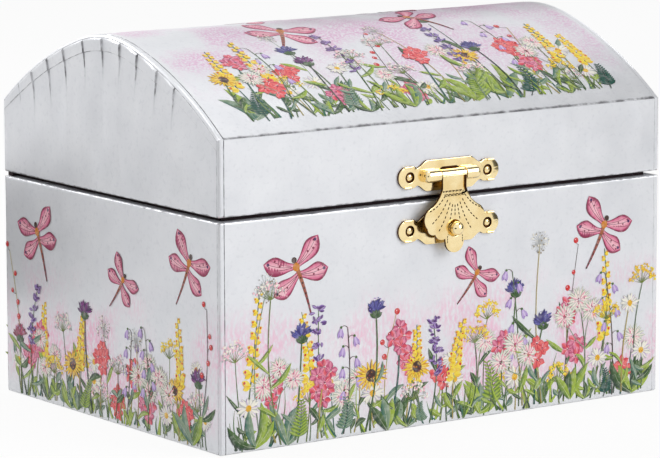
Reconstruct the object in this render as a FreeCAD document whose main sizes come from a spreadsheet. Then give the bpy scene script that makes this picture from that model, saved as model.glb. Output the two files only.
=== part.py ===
import FreeCAD, Part
import math
import os
from types import SimpleNamespace

import Sketcher

# Musical jewellery box with a domed lid, a shell hasp and a turning dancer.
# Millimetres. The origin is the middle of the underside, +Z is up, the front faces -Y.

# Driving sizes: each is written once and kept in the sheet.
SIZES = {
    # Box, measured over the paper
    "box_width": 160.0,
    "box_depth": 117.0,
    "base_height": 66.3,
    "lid_gap": 1.6,
    "lid_wall": 22.0,
    "dome_rise": 24.3,
    "crown_radius": 52.5,
    "crown_half_chord": 14.7,
    # Boards, papers and linings
    "board": 3.0,
    "floor_board": 2.5,
    "dome_board": 2.0,
    "paper": 0.3,
    "bottom_sheet": 0.4,
    "bottom_inset": 0.6,
    "lining": 1.0,
    "lid_lining_rise": 0.75,
    "floor_pad": 1.5,
    "panel_rise": 10.0,
    "panel": 1.5,
    "panel_fit": 0.2,
    "mirror": 2.0,
    "mirror_width": 96.0,
    "mirror_depth": 44.0,
    # Compartments and stage
    "divider": 2.0,
    "divider_height": 36.0,
    "ring_bay_width": 56.0,
    "ring_bed": 25.0,
    "roll_count": 5,
    "roll_gap": 0.6,
    "stage_half_width": 31.0,
    "stage_wall": 2.5,
    "deck": 2.5,
    "deck_clear": 1.2,
    "stage_reach": 19.0,
    # Butt hinges at the back
    "hinge_offset": 46.0,
    "hinge_width": 18.0,
    "hinge_leaf_height": 9.0,
    "hinge_leaf": 0.8,
    "hinge_knuckle_radius": 1.6,
    "hinge_middle_width": 5.8,
    "hinge_pin_radius": 0.7,
    "running_gap": 0.05,
    "side_gap": 0.25,
    # Clasp
    "clasp_rise": 5.8,
    "clasp_plate": 0.8,
    "clasp_width": 36.4,
    "clasp_body_width": 16.8,
    "clasp_body_height": 9.0,
    "clasp_lobe_height": 6.4,
    "clasp_hole_span": 28.2,
    "clasp_hole_radius": 1.7,
    "clasp_barrel_radius": 1.9,
    "clasp_barrel_length": 5.4,
    "clasp_pin_radius": 0.8,
    "hasp_knuckle_radius": 1.7,
    "hasp_knuckle_width": 8.6,
    "hasp_plate": 0.8,
    "hasp_length": 22.8,
    "hasp_shell_width": 21.4,
    "hasp_tab_width": 6.6,
    "stud_drop": 15.6,
    "stud_ball_radius": 2.15,
    "stud_neck_radius": 1.3,
    "stud_clear": 0.4,
    # Nails and screws
    "nail_radius": 0.5,
    "nail_length": 2.6,
    "nail_head_radius": 1.4,
    "screw_radius": 1.2,
    "screw_head_radius": 2.4,
    "screw_clear": 0.1,
    "screw_span": 16.0,
    "screw_low": 9.0,
    "arbor_clear": 1.0,
    "through": 1.0,
    # Musical movement
    "block": 8.0,
    "block_side": 21.5,
    "bedplate": 2.0,
    "arm": 1.5,
    "arm_half_width": 2.2,
    "end_play": 0.4,
    "cylinder_standoff": 10.5,
    "cylinder_radius": 6.2,
    "cylinder_length": 15.0,
    "pin_height": 0.8,
    "pin_width": 0.36,
    "arbor_radius": 0.9,
    "comb_teeth": 18,
    "comb_thickness": 1.0,
    "comb_slit": 0.2,
    "comb_clear": 0.25,
    "comb_reach": 13.2,
    "barrel_axis_height": 14.0,
    "barrel_radius": 7.3,
    "barrel_length": 15.5,
    "barrel_floor": 1.5,
    "crown_wheel_radius": 9.1,
    "crown_wheel_rim": 1.6,
    "crown_teeth": 30,
    "pinion_teeth": 10,
    "pinion_length": 2.0,
    "gear_module": 0.5,
    "gear_teeth": 36,
    "gear_thickness": 1.2,
    "governor_teeth": 10,
    "worm_module": 0.35,
    "worm_wheel_teeth": 20,
    "worm_radius": 1.5,
    "worm_turns": 3,
    "worm_height": 37.0,
    "fan_radius": 4.4,
    "fan_length": 3.6,
    "fan_blade": 0.5,
    "thin_arbor_radius": 0.5,
    "winding_arbor_radius": 1.5,
    "key_wing_radius": 6.2,
    "key_wing_hole": 2.9,
    "key_wing_spacing": 12.0,
    "key_plate": 1.4,
    "key_hub_radius": 2.6,
    "key_hub_length": 7.0,
    "key_stand_off": 1.2,
    "wire_radius": 0.5,
    "wire_offset": 25.0,
    # Dancer
    "bush_radius": 2.2,
    "bush_stand": 0.8,
    "turntable_radius": 9.5,
    "turntable": 1.6,
    "spring_radius": 1.9,
    "spring_wire": 0.5,
    "spring_height": 6.0,
    "spring_turns": 5,
    "plug_radius": 2.4,
    "plug": 1.0,
    "head_room": 1.5,
    "tutu_radius": 13.0,
}

Vector = FreeCAD.Vector
Rotation = FreeCAD.Rotation
UP = Vector(0, 0, 1)

doc = FreeCAD.newDocument("jewellery_box")
sheet = doc.addObject("Spreadsheet::Sheet", "Sizes")
nodes = []


# Sizes that carry their own formula

class Size:
    """A length with its value and the formula that gives it from the sheet."""

    def __init__(self, value, text):
        self.value = value
        self.text = text

    def __add__(self, other):
        other = as_size(other)
        return Size(self.value + other.value, f"({self.text} + {other.text})")

    def __sub__(self, other):
        other = as_size(other)
        return Size(self.value - other.value, f"({self.text} - {other.text})")

    def __mul__(self, other):
        other = as_size(other)
        return Size(self.value * other.value, f"({self.text} * {other.text})")

    def __truediv__(self, other):
        other = as_size(other)
        return Size(self.value / other.value, f"({self.text} / {other.text})")

    def __neg__(self):
        return Size(-self.value, f"(-{self.text})")

    def __radd__(self, other):
        return as_size(other) + self

    def __rsub__(self, other):
        return as_size(other) - self

    def __rmul__(self, other):
        return as_size(other) * self

    def __rtruediv__(self, other):
        return as_size(other) / self


def as_size(number):
    return number if isinstance(number, Size) else Size(float(number), f"({float(number):.9f})")


def root(size):
    return Size(math.sqrt(size.value), f"sqrt({size.text})")


def read_sheet():
    for row, (name, number) in enumerate(SIZES.items(), start=1):
        sheet.set(f"A{row}", name)
        sheet.set(f"B{row}", str(number))
        sheet.setAlias(f"B{row}", name)
    doc.recompute()
    return SimpleNamespace(**{name: Size(float(sheet.get(name)), f"Sizes.{name}") for name in SIZES})


d = read_sheet()


# Solids from primitives

TURN = {"X": Rotation(Vector(0, 1, 0), 90), "Y": Rotation(Vector(1, 0, 0), -90), "Z": Rotation()}
FACING_FRONT = Rotation(Vector(1, 0, 0), 90)
FRONT, BACK = -1, 1
FASTENER_SIDES = 6
HEAD_SIDES = 10
BALL_SIDES = 12
ROLL_SIDES = 16
DISC_SIDES = 30


def bind(obj, prop, size):
    obj.setExpression(prop, as_size(size).text)


def place(obj, x=0, y=0, z=0, turn=None):
    if turn is not None:
        obj.Placement = FreeCAD.Placement(Vector(), turn)
    for axis, size in zip("xyz", (x, y, z)):
        bind(obj, f"Placement.Base.{axis}", size)
    return obj


def box(x, y, z):
    obj = doc.addObject("Part::Box", "Block")
    for prop, (low, high) in zip(("Length", "Width", "Height"), (x, y, z)):
        bind(obj, prop, as_size(high) - low)
    return place(obj, x[0], y[0], z[0])


def rod(axis, radius, span, at, sides=0):
    """A rod along an axis: round, or with flat sides for small fasteners and their holes."""
    if sides:
        obj = doc.addObject("Part::Prism", "Rod")
        obj.Polygon = sides
        bind(obj, "Circumradius", radius)
    else:
        obj = doc.addObject("Part::Cylinder", "Rod")
        bind(obj, "Radius", radius)
    bind(obj, "Height", as_size(span[1]) - span[0])
    spots = {"X": (span[0], *at), "Y": (at[0], span[0], at[1]), "Z": (*at, span[0])}
    return place(obj, *spots[axis], turn=TURN[axis])


def head(radius, y, x, z, toward):
    """A fastener's low head, standing on a face that looks along Y, toward the front or the back."""
    low, high = sorted((as_size(y), as_size(y) + radius / 2 * toward), key=lambda size: size.value)
    return rod("Y", radius, (low, high), (x, z), HEAD_SIDES)


def cut(base, *tools):
    obj = doc.addObject("Part::Cut", "Cut")
    obj.Base = base
    obj.Tool = tools[0] if len(tools) == 1 else group(*tools)
    return obj


def fuse(*pieces):
    obj = doc.addObject("Part::MultiFuse", "Fuse")
    obj.Shapes = list(pieces)
    obj.Refine = True
    return obj


def group(*pieces):
    obj = doc.addObject("Part::Compound", "Group")
    obj.Links = list(pieces)
    return obj


def feature(shape, x=0, y=0, z=0, turn=None):
    obj = doc.addObject("Part::Feature", "Shape")
    obj.Shape = shape
    return place(obj, x, y, z, turn)


def node(label, obj):
    obj.Label = label
    nodes.append(obj)
    return obj


# Solids from sketches

class Corner:
    """A corner of an outline. The stretch that arrives at it is straight, or an arc by centre or radius."""

    def __init__(self, x, y, centre=None, radius=None, left=True):
        self.x = as_size(x)
        self.y = as_size(y)
        self.centre = centre and (as_size(centre[0]), as_size(centre[1]))
        self.radius = radius and as_size(radius)
        self.left = left

    @property
    def point(self):
        return Vector(self.x.value, self.y.value, 0)


def arc_centre(corner, start, end):
    if corner.centre:
        return Vector(corner.centre[0].value, corner.centre[1].value, 0)
    chord = end - start
    height = math.sqrt(corner.radius.value ** 2 - chord.Length ** 2 / 4)
    side = Vector(-chord.y, chord.x, 0).normalize()
    return (start + end) * 0.5 + side * (height if corner.left else -height)


def stretch(corner, start):
    """The geometry that arrives at a corner, and which of its ends come first and last."""
    end = corner.point
    if corner.centre is None and corner.radius is None:
        return Part.LineSegment(start, end), 1, 2
    centre = arc_centre(corner, start, end)
    circle = Part.Circle(centre, UP, (end - centre).Length)
    angles = [math.atan2(spot.y - centre.y, spot.x - centre.x) for spot in (start, end)]
    first, last = angles if corner.left else reversed(angles)
    if last < first:
        last += 2 * math.pi
    arc = Part.ArcOfCircle(circle, first, last)
    return (arc, 1, 2) if corner.left else (arc, 2, 1)


def pin(sketch, kind, item, end, size):
    number = sketch.addConstraint(Sketcher.Constraint(kind, -1, 1, item, end, size.value))
    sketch.setExpression(f"Constraints[{number}]", size.text)


def draw_loop(sketch, corners):
    drawn = []
    for before, corner in zip(corners[-1:] + corners[:-1], corners):
        geometry, first, last = stretch(corner, before.point)
        drawn.append((sketch.addGeometry(geometry, False), first, last))
    for this, following in zip(drawn, drawn[1:] + drawn[:1]):
        joined = (this[0], this[2], following[0], following[1])
        sketch.addConstraint(Sketcher.Constraint("Coincident", *joined))
    for before, corner, (item, first, last) in zip(corners[-1:] + corners[:-1], corners, drawn):
        pin(sketch, "DistanceX", item, last, corner.x)
        pin(sketch, "DistanceY", item, last, corner.y)
        if corner.radius:
            number = sketch.addConstraint(Sketcher.Constraint("Radius", item, corner.radius.value))
            sketch.setExpression(f"Constraints[{number}]", corner.radius.text)
        elif corner.centre:
            chord = corner.point - before.point
            upright = abs(chord.y) > abs(chord.x)
            kind, size = ("DistanceX", corner.centre[0]) if upright else ("DistanceY", corner.centre[1])
            pin(sketch, kind, item, 3, size)


def draw_circle(sketch, x, y, radius):
    circle = Part.Circle(Vector(as_size(x).value, as_size(y).value, 0), UP, as_size(radius).value)
    item = sketch.addGeometry(circle, False)
    pin(sketch, "DistanceX", item, 3, as_size(x))
    pin(sketch, "DistanceY", item, 3, as_size(y))
    number = sketch.addConstraint(Sketcher.Constraint("Radius", item, as_size(radius).value))
    sketch.setExpression(f"Constraints[{number}]", as_size(radius).text)


def sketch_on(body, plane, offset=0):
    sketch = body.newObject("Sketcher::SketchObject", "Outline")
    support = [item for item in body.Origin.OriginFeatures if item.Role == plane]
    sketch.AttachmentSupport = [(support[0], "")]
    sketch.MapMode = "FlatFace"
    bind(sketch, "AttachmentOffset.Base.z", offset)
    return sketch


def plate(plane, span, corners, holes=()):
    """A flat piece: an outline with round holes, padded over a span across its plane."""
    low, high = as_size(span[0]), as_size(span[1])
    body = doc.addObject("PartDesign::Body", "Plate")
    sketch = sketch_on(body, plane, -high if plane == "XZ_Plane" else low)
    draw_loop(sketch, corners)
    for x, y, radius in holes:
        draw_circle(sketch, x, y, radius)
    pad = body.newObject("PartDesign::Pad", "Pad")
    pad.Profile = sketch
    bind(pad, "Length", high - low)
    return body


def flat_face(*corners):
    return Part.Face(Part.makePolygon(list(corners) + [corners[0]]))


def skin(rings):
    """A solid through rings of points: flat triangles between neighbours and a flat face at each end."""
    faces = [flat_face(*rings[0]), flat_face(*rings[-1])]
    for here, there in zip(rings, rings[1:]):
        for index, corner in enumerate(here):
            after = (index + 1) % len(here)
            faces.append(flat_face(corner, here[after], there[after]))
            faces.append(flat_face(corner, there[after], there[index]))
    solid = Part.Solid(Part.Shell(faces))
    if solid.Volume < 0:
        solid.reverse()
    return solid


def limb(stations, sides):
    """A skin through (place, radius) stations, each ring square to the way the limb runs there."""
    places = [spot for spot, radius in stations]
    angles = [2 * math.pi * side / sides for side in range(sides)]
    rings = []
    for index, (spot, radius) in enumerate(stations):
        along = places[min(index + 1, len(places) - 1)] - places[max(index - 1, 0)]
        turn = Rotation(UP, along)
        rings.append([spot + turn.multVec(Vector(radius * math.cos(angle), radius * math.sin(angle), 0))
                      for angle in angles])
    return skin(rings)


def globe(centre, radius, sides, rows):
    angles = [math.pi * (row + 0.5) / rows for row in range(rows)]
    levels = [(centre - UP * radius * math.cos(angle), radius * math.sin(angle)) for angle in angles]
    return limb(levels, sides)


# Shared places

half_width = d.box_width / 2
half_depth = d.box_depth / 2
wall_x = half_width - d.paper
wall_y = half_depth - d.paper
inner_x = wall_x - d.board
inner_y = wall_y - d.board
lined_x = inner_x - d.lining
lined_y = inner_y - d.lining
floor_top = d.bottom_sheet + d.floor_board
pad_top = floor_top + d.floor_pad
lid_bottom = d.base_height + d.lid_gap
lining_top = lid_bottom - d.side_gap
lid_spring = lid_bottom + d.lid_wall
dome_top = lid_spring + d.dome_rise

# Dome section: a crown arc, then a flank arc each side that meets it without a corner.
crown_sin = d.crown_half_chord / d.crown_radius
crown_cos = root(1 - crown_sin * crown_sin)
crown_z = dome_top - d.crown_radius
knee_z = crown_z + d.crown_radius * crown_cos
flank_run = half_depth - d.crown_half_chord
flank_fall = knee_z - lid_spring
flank_square = flank_run * flank_run + flank_fall * flank_fall
flank_radius = flank_square / (2 * (flank_fall * crown_cos - flank_run * crown_sin))
flank_y = d.crown_half_chord - flank_radius * crown_sin
flank_z = knee_z - flank_radius * crown_cos


def flank_height(inset, y):
    radius, across = flank_radius - inset, y - flank_y
    return flank_z + root(radius * radius - across * across)


def flank_reach(inset, z):
    radius, rise = flank_radius - inset, z - flank_z
    return flank_y + root(radius * radius - rise * rise)


def dome_arc(inset, foot_y, foot_z, side=1):
    """Corners over the dome from the foot at +side to the foot at -side."""
    knee = (d.crown_radius - inset) * crown_sin * side
    height = crown_z + (d.crown_radius - inset) * crown_cos
    left = side > 0
    return [
        Corner(foot_y * side, foot_z),
        Corner(knee, height, centre=(flank_y * side, flank_z), left=left),
        Corner(-knee, height, centre=(0, crown_z), left=left),
        Corner(-foot_y * side, foot_z, centre=(-flank_y * side, flank_z), left=left),
    ]


dome_inset = d.paper + d.dome_board
rail_top = flank_height(d.paper, wall_y)
dome_foot = flank_reach(dome_inset, rail_top)

# Movement places, from the back wall forward and from the barrel up.
plate_back = inner_y - d.block
plate_front = plate_back - d.bedplate
axis_y = plate_front - d.cylinder_standoff
pinion_radius = d.crown_wheel_radius * d.pinion_teeth / d.crown_teeth
crown_module = 2 * d.crown_wheel_radius / d.crown_teeth
pinion_z = d.barrel_axis_height + d.crown_wheel_radius
pinion_top = pinion_z + d.pinion_length / 2
low_arm = pinion_top + d.end_play
cylinder_low = low_arm + d.arm + d.end_play
cylinder_top = cylinder_low + d.cylinder_length
gear_top = cylinder_top + d.gear_thickness
high_arm = gear_top + d.end_play
high_arm_top = high_arm + d.arm
governor_x = d.gear_module * (d.gear_teeth + d.governor_teeth) / 2
worm_wheel_radius = d.worm_module * d.worm_wheel_teeth / 2
worm_x = governor_x + worm_wheel_radius + d.worm_radius
governor_low = d.worm_height - worm_wheel_radius
worm_pitch = math.pi * d.worm_module
worm_half = worm_pitch * d.worm_turns / 2
bracket_back = axis_y - worm_half - d.end_play * 2
bracket_front = bracket_back - d.arm
fan_back = bracket_front - d.end_play
fan_front = fan_back - d.fan_length
barrel_back = plate_front - d.end_play
crown_rim = d.crown_wheel_radius + d.crown_wheel_rim / 2
crown_inside = d.crown_wheel_radius - d.crown_wheel_rim / 2
crown_root = barrel_back - axis_y - pinion_radius - crown_module
comb_tip = d.cylinder_radius + d.pin_height + d.comb_clear
comb_root = comb_tip + d.comb_reach
comb_bed = d.comb_reach * 0.45
comb_low = cylinder_low + d.end_play
comb_high = cylinder_top - d.end_play
comb_pitch = (comb_high - comb_low) / d.comb_teeth

# Stage, dancer and lid inside
deck_bottom = high_arm_top + d.deck_clear
deck_top = deck_bottom + d.deck
stage_front = axis_y - d.stage_reach
stage_inside = stage_front + d.stage_wall
turntable_bottom = deck_top + d.bush_stand + d.end_play
turntable_top = turntable_bottom + d.turntable
spring_top = turntable_top + d.spring_height
figure_foot = spring_top + d.plug
panel_bottom = lid_spring + d.panel_rise
mirror_face = panel_bottom - d.mirror
figure_height = mirror_face - d.head_room - figure_foot
ring_bay_x = lined_x - d.ring_bay_width - d.divider
lid_lining_bottom = lid_bottom + d.lid_lining_rise
wire_y = lined_y - d.wire_radius - d.screw_clear
lip = d.wire_radius * 2 + d.screw_clear * 2

# Clasp and hinge places
clasp_z = lid_bottom + d.clasp_rise
stud_z = clasp_z - d.stud_drop
clasp_axis_y = -half_depth - d.clasp_barrel_radius
plate_face_y = -half_depth - d.clasp_plate
hasp_front_y = clasp_axis_y - d.hasp_knuckle_radius
stud_ball_y = hasp_front_y - d.stud_ball_radius * 0.4
hinge_y = half_depth + d.hinge_knuckle_radius
hinge_z = d.base_height + d.lid_gap / 2
nail_drop = d.hinge_leaf_height / 1.6
clasp_spots = [d.clasp_hole_span / 2 * way for way in (-1, 1)]
screw_spots = (
    (-d.screw_span, d.screw_low),
    (d.screw_span, d.screw_low),
    (0, high_arm_top - d.screw_head_radius - d.end_play),
)
screw_hole = d.screw_radius + d.screw_clear
arbor_hole = d.winding_arbor_radius + d.arbor_clear


# Base

def back_holes(low, high):
    holes = [rod("Y", screw_hole, (low, high), spot, FASTENER_SIDES) for spot in screw_spots]
    return holes + [rod("Y", arbor_hole, (low, high), (0, d.barrel_axis_height))]


def make_base():
    sheet_x = half_width - d.bottom_inset
    sheet_y = half_depth - d.bottom_inset
    node("bottom_sheet", box((-sheet_x, sheet_x), (-sheet_y, sheet_y), (0, d.bottom_sheet)))
    node("floor_board", box((-inner_x, inner_x), (-inner_y, inner_y), (d.bottom_sheet, floor_top)))
    rise = (d.bottom_sheet, d.base_height)
    node("front_board", box((-wall_x, wall_x), (-wall_y, -inner_y), rise))
    back = box((-wall_x, wall_x), (inner_y, wall_y), rise)
    node("back_board", cut(back, *back_holes(inner_y - d.through, wall_y + d.through)))
    node("left_end_board", box((-wall_x, -inner_x), (-inner_y, inner_y), rise))
    node("right_end_board", box((inner_x, wall_x), (-inner_y, inner_y), rise))
    outside = box((-half_width, half_width), (-half_depth, half_depth), rise)
    past = (d.bottom_sheet - d.through, d.base_height + d.through)
    inside = box((-wall_x, wall_x), (-wall_y, wall_y), past)
    node("base_wrap_paper", cut(outside, inside, *back_holes(wall_y - d.through, half_depth + d.through)))


def make_linings():
    side = d.stage_half_width
    rise = (floor_top, lining_top)
    front = box((-inner_x, inner_x), (-inner_y, -lined_y), rise)
    left = box((-inner_x, -lined_x), (-lined_y, inner_y), rise)
    right = box((lined_x, inner_x), (-lined_y, inner_y), rise)
    back_left = box((-lined_x, -side), (lined_y, inner_y), rise)
    back_right = box((side, lined_x), (lined_y, inner_y), rise)
    back_middle = box((-side, side), (lined_y, inner_y), (deck_top, lining_top))
    node("wall_linings", group(front, left, right, back_left, back_right, back_middle))
    pads = (floor_top, pad_top)
    tray = box((-lined_x, ring_bay_x), (-lined_y, stage_front), pads)
    rear = stage_front + d.divider
    left_well = box((-lined_x, -side), (rear, lined_y), pads)
    right_well = box((side, lined_x), (rear, lined_y), pads)
    node("floor_pads", group(tray, left_well, right_well))


def make_compartments():
    side = d.stage_half_width
    rise = (floor_top, floor_top + d.divider_height)
    rear = (stage_front, stage_front + d.divider)
    left = box((-lined_x, -side), rear, rise)
    right = box((side, lined_x), rear, rise)
    node("rear_dividers", group(left, right))
    bay = (ring_bay_x + d.divider, lined_x)
    node("ring_divider", box((ring_bay_x, bay[0]), (-lined_y, stage_front), rise))
    bed_top = floor_top + d.ring_bed
    node("ring_bed", box(bay, (-lined_y, stage_front), (floor_top, bed_top)))
    pitch = (stage_front + lined_y) / d.roll_count
    radius = (pitch - d.roll_gap) / 2
    ends = (bay[0] + d.roll_gap / 2, bay[1] - d.roll_gap / 2)
    rolls = []
    for index in range(int(d.roll_count.value)):
        middle = -lined_y + pitch * (index + 0.5)
        rolls.append(rod("X", radius, ends, (middle, bed_top + radius), ROLL_SIDES))
    node("ring_rolls", group(*rolls))


def make_stage():
    side = d.stage_half_width
    rise = (floor_top, deck_bottom)
    front = box((-side, side), (stage_front, stage_inside), rise)
    left = box((-side, -side + d.stage_wall), (stage_inside, inner_y), rise)
    right = box((side - d.stage_wall, side), (stage_inside, inner_y), rise)
    node("stage_walls", group(front, left, right))
    through = (deck_bottom - d.through, deck_top + d.through)
    bush_hole = rod("Z", d.bush_radius + d.running_gap, through, (0, axis_y))
    wire_hole = rod("Z", d.wire_radius + d.screw_clear, through, (d.wire_offset, wire_y), FASTENER_SIDES)
    deck = box((-side, side), (stage_front, inner_y), (deck_bottom, deck_top))
    node("stage_deck", cut(deck, bush_hole, wire_hole))
    bush_span = (deck_bottom, deck_top + d.bush_stand)
    bore_span = (deck_bottom - d.through, deck_top + d.bush_stand + d.through)
    bore = rod("Z", d.arbor_radius + d.running_gap, bore_span, (0, axis_y))
    node("spindle_bush", cut(rod("Z", d.bush_radius, bush_span, (0, axis_y)), bore))


# Lid

def make_lid():
    span = (-inner_x, inner_x)
    rise = (lid_bottom, rail_top)
    node("lid_front_rail", box(span, (-wall_y, -inner_y), rise))
    node("lid_back_rail", box(span, (inner_y, wall_y), rise))
    end = [Corner(wall_y, lid_bottom), Corner(wall_y, rail_top)]
    end += dome_arc(dome_inset, dome_foot, rail_top)
    end += [Corner(-wall_y, rail_top), Corner(-wall_y, lid_bottom)]
    node("lid_left_end", plate("YZ_Plane", (-wall_x, -inner_x), end))
    node("lid_right_end", plate("YZ_Plane", (inner_x, wall_x), end))
    dome = dome_arc(d.paper, wall_y, rail_top) + dome_arc(dome_inset, dome_foot, rail_top, -1)
    node("lid_dome", plate("YZ_Plane", (-wall_x, wall_x), dome))
    wrap = [Corner(half_depth, lid_bottom)] + dome_arc(0, half_depth, lid_spring)
    wrap += [Corner(-half_depth, lid_bottom), Corner(-wall_y, lid_bottom)]
    wrap += dome_arc(d.paper, wall_y, rail_top, -1) + [Corner(wall_y, lid_bottom)]
    node("lid_wrap_paper", plate("YZ_Plane", (-wall_x, wall_x), wrap))
    face = [Corner(half_depth, lid_bottom)] + dome_arc(0, half_depth, lid_spring)
    face += [Corner(-half_depth, lid_bottom)]
    left = plate("YZ_Plane", (-half_width, -wall_x), face)
    right = plate("YZ_Plane", (wall_x, half_width), face)
    node("lid_end_papers", group(left, right))


def make_lid_inside():
    panel_top = panel_bottom + d.panel
    reach = flank_reach(dome_inset, panel_top) - d.panel_fit
    panel_x = inner_x - d.panel_fit
    node("lid_panel", box((-panel_x, panel_x), (-reach, reach), (panel_bottom, panel_top)))
    glass_x, glass_y = d.mirror_width / 2, d.mirror_depth / 2
    node("lid_mirror", box((-glass_x, glass_x), (-glass_y, glass_y), (mirror_face, panel_bottom)))
    rise = (lid_lining_bottom, rail_top)
    front = box((-inner_x, inner_x), (-inner_y, -lined_y), rise)
    back = box((-inner_x, inner_x), (inner_y - d.lining - lip, inner_y), rise)
    sides = (-lined_y, inner_y - d.lining - lip)
    left = box((-inner_x, -lined_x), sides, rise)
    right = box((lined_x, inner_x), sides, rise)
    node("lid_linings", group(front, back, left, right))


# Hinges at the back

def nail_holes(x, z):
    through = (half_depth - d.through, half_depth + d.hinge_leaf + d.through)
    spots = [(x + side * d.hinge_width / 3, z) for side in (-1, 1)]
    return [rod("Y", d.nail_radius, through, spot, FASTENER_SIDES) for spot in spots]


def make_hinges():
    reach = d.hinge_width / 2
    middle = d.hinge_middle_width / 2
    outer = middle + d.side_gap
    axis = (hinge_y, hinge_z)
    thick = (half_depth, half_depth + d.hinge_leaf)
    clear = d.hinge_knuckle_radius + d.side_gap
    behind = (half_depth - d.through, half_depth + d.hinge_leaf + d.through)
    base_leaves, lid_leaves, base_nails, lid_nails = [], [], [], []
    for x in (-d.hinge_offset, d.hinge_offset):
        leaf = box((x - reach, x + reach), thick, (hinge_z - d.hinge_leaf_height, hinge_z))
        notch = box((x - outer, x + outer), behind, (hinge_z - clear, hinge_z + d.through))
        left = rod("X", d.hinge_knuckle_radius, (x - reach, x - outer), axis, ROLL_SIDES)
        right = rod("X", d.hinge_knuckle_radius, (x + outer, x + reach), axis, ROLL_SIDES)
        pivot = rod("X", d.hinge_pin_radius, (x - reach, x + reach), axis)
        holes = nail_holes(x, hinge_z - nail_drop)
        base_leaves.append(cut(fuse(cut(leaf, notch), left, right, pivot), *holes))
        leaf = box((x - reach, x + reach), thick, (hinge_z, hinge_z + d.hinge_leaf_height))
        swing = (hinge_z - d.through, hinge_z + clear)
        notches = [
            box((x - reach - d.through, x - middle), behind, swing),
            box((x + middle, x + reach + d.through), behind, swing),
        ]
        knuckle = rod("X", d.hinge_knuckle_radius, (x - middle, x + middle), axis, ROLL_SIDES)
        bore = rod("X", d.hinge_pin_radius + d.running_gap, (x - reach, x + reach), axis)
        holes = nail_holes(x, hinge_z + nail_drop)
        lid_leaves.append(cut(fuse(cut(leaf, *notches), knuckle), bore, *holes))
        for side in (-1, 1):
            spot = x + side * d.hinge_width / 3
            face = half_depth + d.hinge_leaf
            base_nails.append(nail(spot, face, hinge_z - nail_drop, BACK))
            lid_nails.append(nail(spot, face, hinge_z + nail_drop, BACK))
    node("hinge_leaves_base", group(*base_leaves))
    node("hinge_leaves_lid", group(*lid_leaves))
    base_nails += [nail(x, -half_depth, stud_z, FRONT) for x in clasp_spots]
    lid_nails += [nail(x, -half_depth, clasp_z, FRONT) for x in clasp_spots]
    node("base_nails", group(*base_nails))
    node("lid_nails", group(*lid_nails))


def nail(x, y, z, toward):
    """A nail whose head sits on a face: its shank runs into the board behind."""
    span = (y - d.nail_length, y) if toward == BACK else (y, y + d.nail_length)
    shank = rod("Y", d.nail_radius, span, (x, z), FASTENER_SIDES)
    return fuse(head(d.nail_head_radius, y, x, z, toward), shank)


# Clasp on the front

def clasp_outline(z):
    """The plate's edge: a body with cut corners and a round lobe at each end, the same both ways up."""
    body_x, body_z = d.clasp_body_width / 2, d.clasp_body_height / 2
    lobe = d.clasp_lobe_height / 2
    tip_x = d.clasp_width / 2 - lobe
    neck_x, neck_z = body_x + lobe * 0.75, lobe * 0.84
    shoulder_x = neck_x + lobe * 0.5
    corners = []
    for way in (1, -1):
        corners += [
            Corner(body_x * way, z + body_z * way),
            Corner(neck_x * way, z + neck_z * way),
            Corner(shoulder_x * way, z + lobe * way),
            Corner(tip_x * way, z + lobe * way),
            Corner(tip_x * way, z - lobe * way, centre=(tip_x * way, z), left=False),
            Corner(shoulder_x * way, z - lobe * way),
            Corner(neck_x * way, z - neck_z * way),
            Corner(body_x * way, z - body_z * way),
        ]
    return corners


def clasp_holes(z):
    return [(x, z, d.clasp_hole_radius) for x in clasp_spots]


def make_clasp():
    thick = (plate_face_y, -half_depth)
    axis = (clasp_axis_y, clasp_z)
    knuckle = d.hasp_knuckle_width / 2
    stub_start = knuckle + d.side_gap
    stub_end = stub_start + d.clasp_barrel_length
    leaf = plate("XZ_Plane", thick, clasp_outline(clasp_z), clasp_holes(clasp_z))
    window_z = d.hasp_knuckle_radius + d.side_gap * 2
    window = box((-stub_start, stub_start), (plate_face_y - d.through, -half_depth + d.through),
                 (clasp_z - window_z, clasp_z + window_z))
    left = rod("X", d.clasp_barrel_radius, (-stub_end, -stub_start), axis, ROLL_SIDES)
    right = rod("X", d.clasp_barrel_radius, (stub_start, stub_end), axis, ROLL_SIDES)
    pin_end = stub_end - d.clasp_pin_radius
    bore = rod("X", d.clasp_pin_radius, (-pin_end, pin_end), axis)
    node("clasp_plate", cut(fuse(cut(leaf, window), left, right), bore))
    node("clasp_pin", rod("X", d.clasp_pin_radius, (-pin_end, pin_end), axis))
    node("keeper_plate", plate("XZ_Plane", thick, clasp_outline(stud_z), clasp_holes(stud_z)))
    neck = rod("Y", d.stud_neck_radius, (stud_ball_y, plate_face_y), (0, stud_z))
    ball = globe(Vector(), d.stud_ball_radius.value, BALL_SIDES, BALL_SIDES // 2)
    node("keeper_stud", fuse(neck, feature(ball, 0, stud_ball_y, stud_z)))


def hasp_outline():
    """The shell's edge: neck, flare, round side, two scallops and finger tab, then the same mirrored."""
    neck, shell, tab = d.hasp_knuckle_width / 2, d.hasp_shell_width / 2, d.hasp_tab_width / 2
    length = d.hasp_length
    right = [
        (neck, length * 0, None, True),
        (neck, length * 0.17, None, True),
        (shell * 0.83, length * 0.41, length * 0.36, True),
        (shell * 0.92, length * 0.66, length * 0.155, False),
        (shell * 0.66, length * 0.745, length * 0.095, False),
        (tab * 1.05, length * 0.81, length * 0.115, False),
        (tab, length - tab, None, True),
    ]
    corners = [Corner(x, clasp_z - drop, radius=radius, left=left) for x, drop, radius, left in right]
    corners.append(Corner(-tab, clasp_z - length + tab, centre=(0, clasp_z - length + tab), left=False))
    for (x, drop, _, _), (_, _, radius, left) in zip(right[-2::-1], right[::-1]):
        corners.append(Corner(-x, clasp_z - drop, radius=radius, left=left))
    return corners


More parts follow.
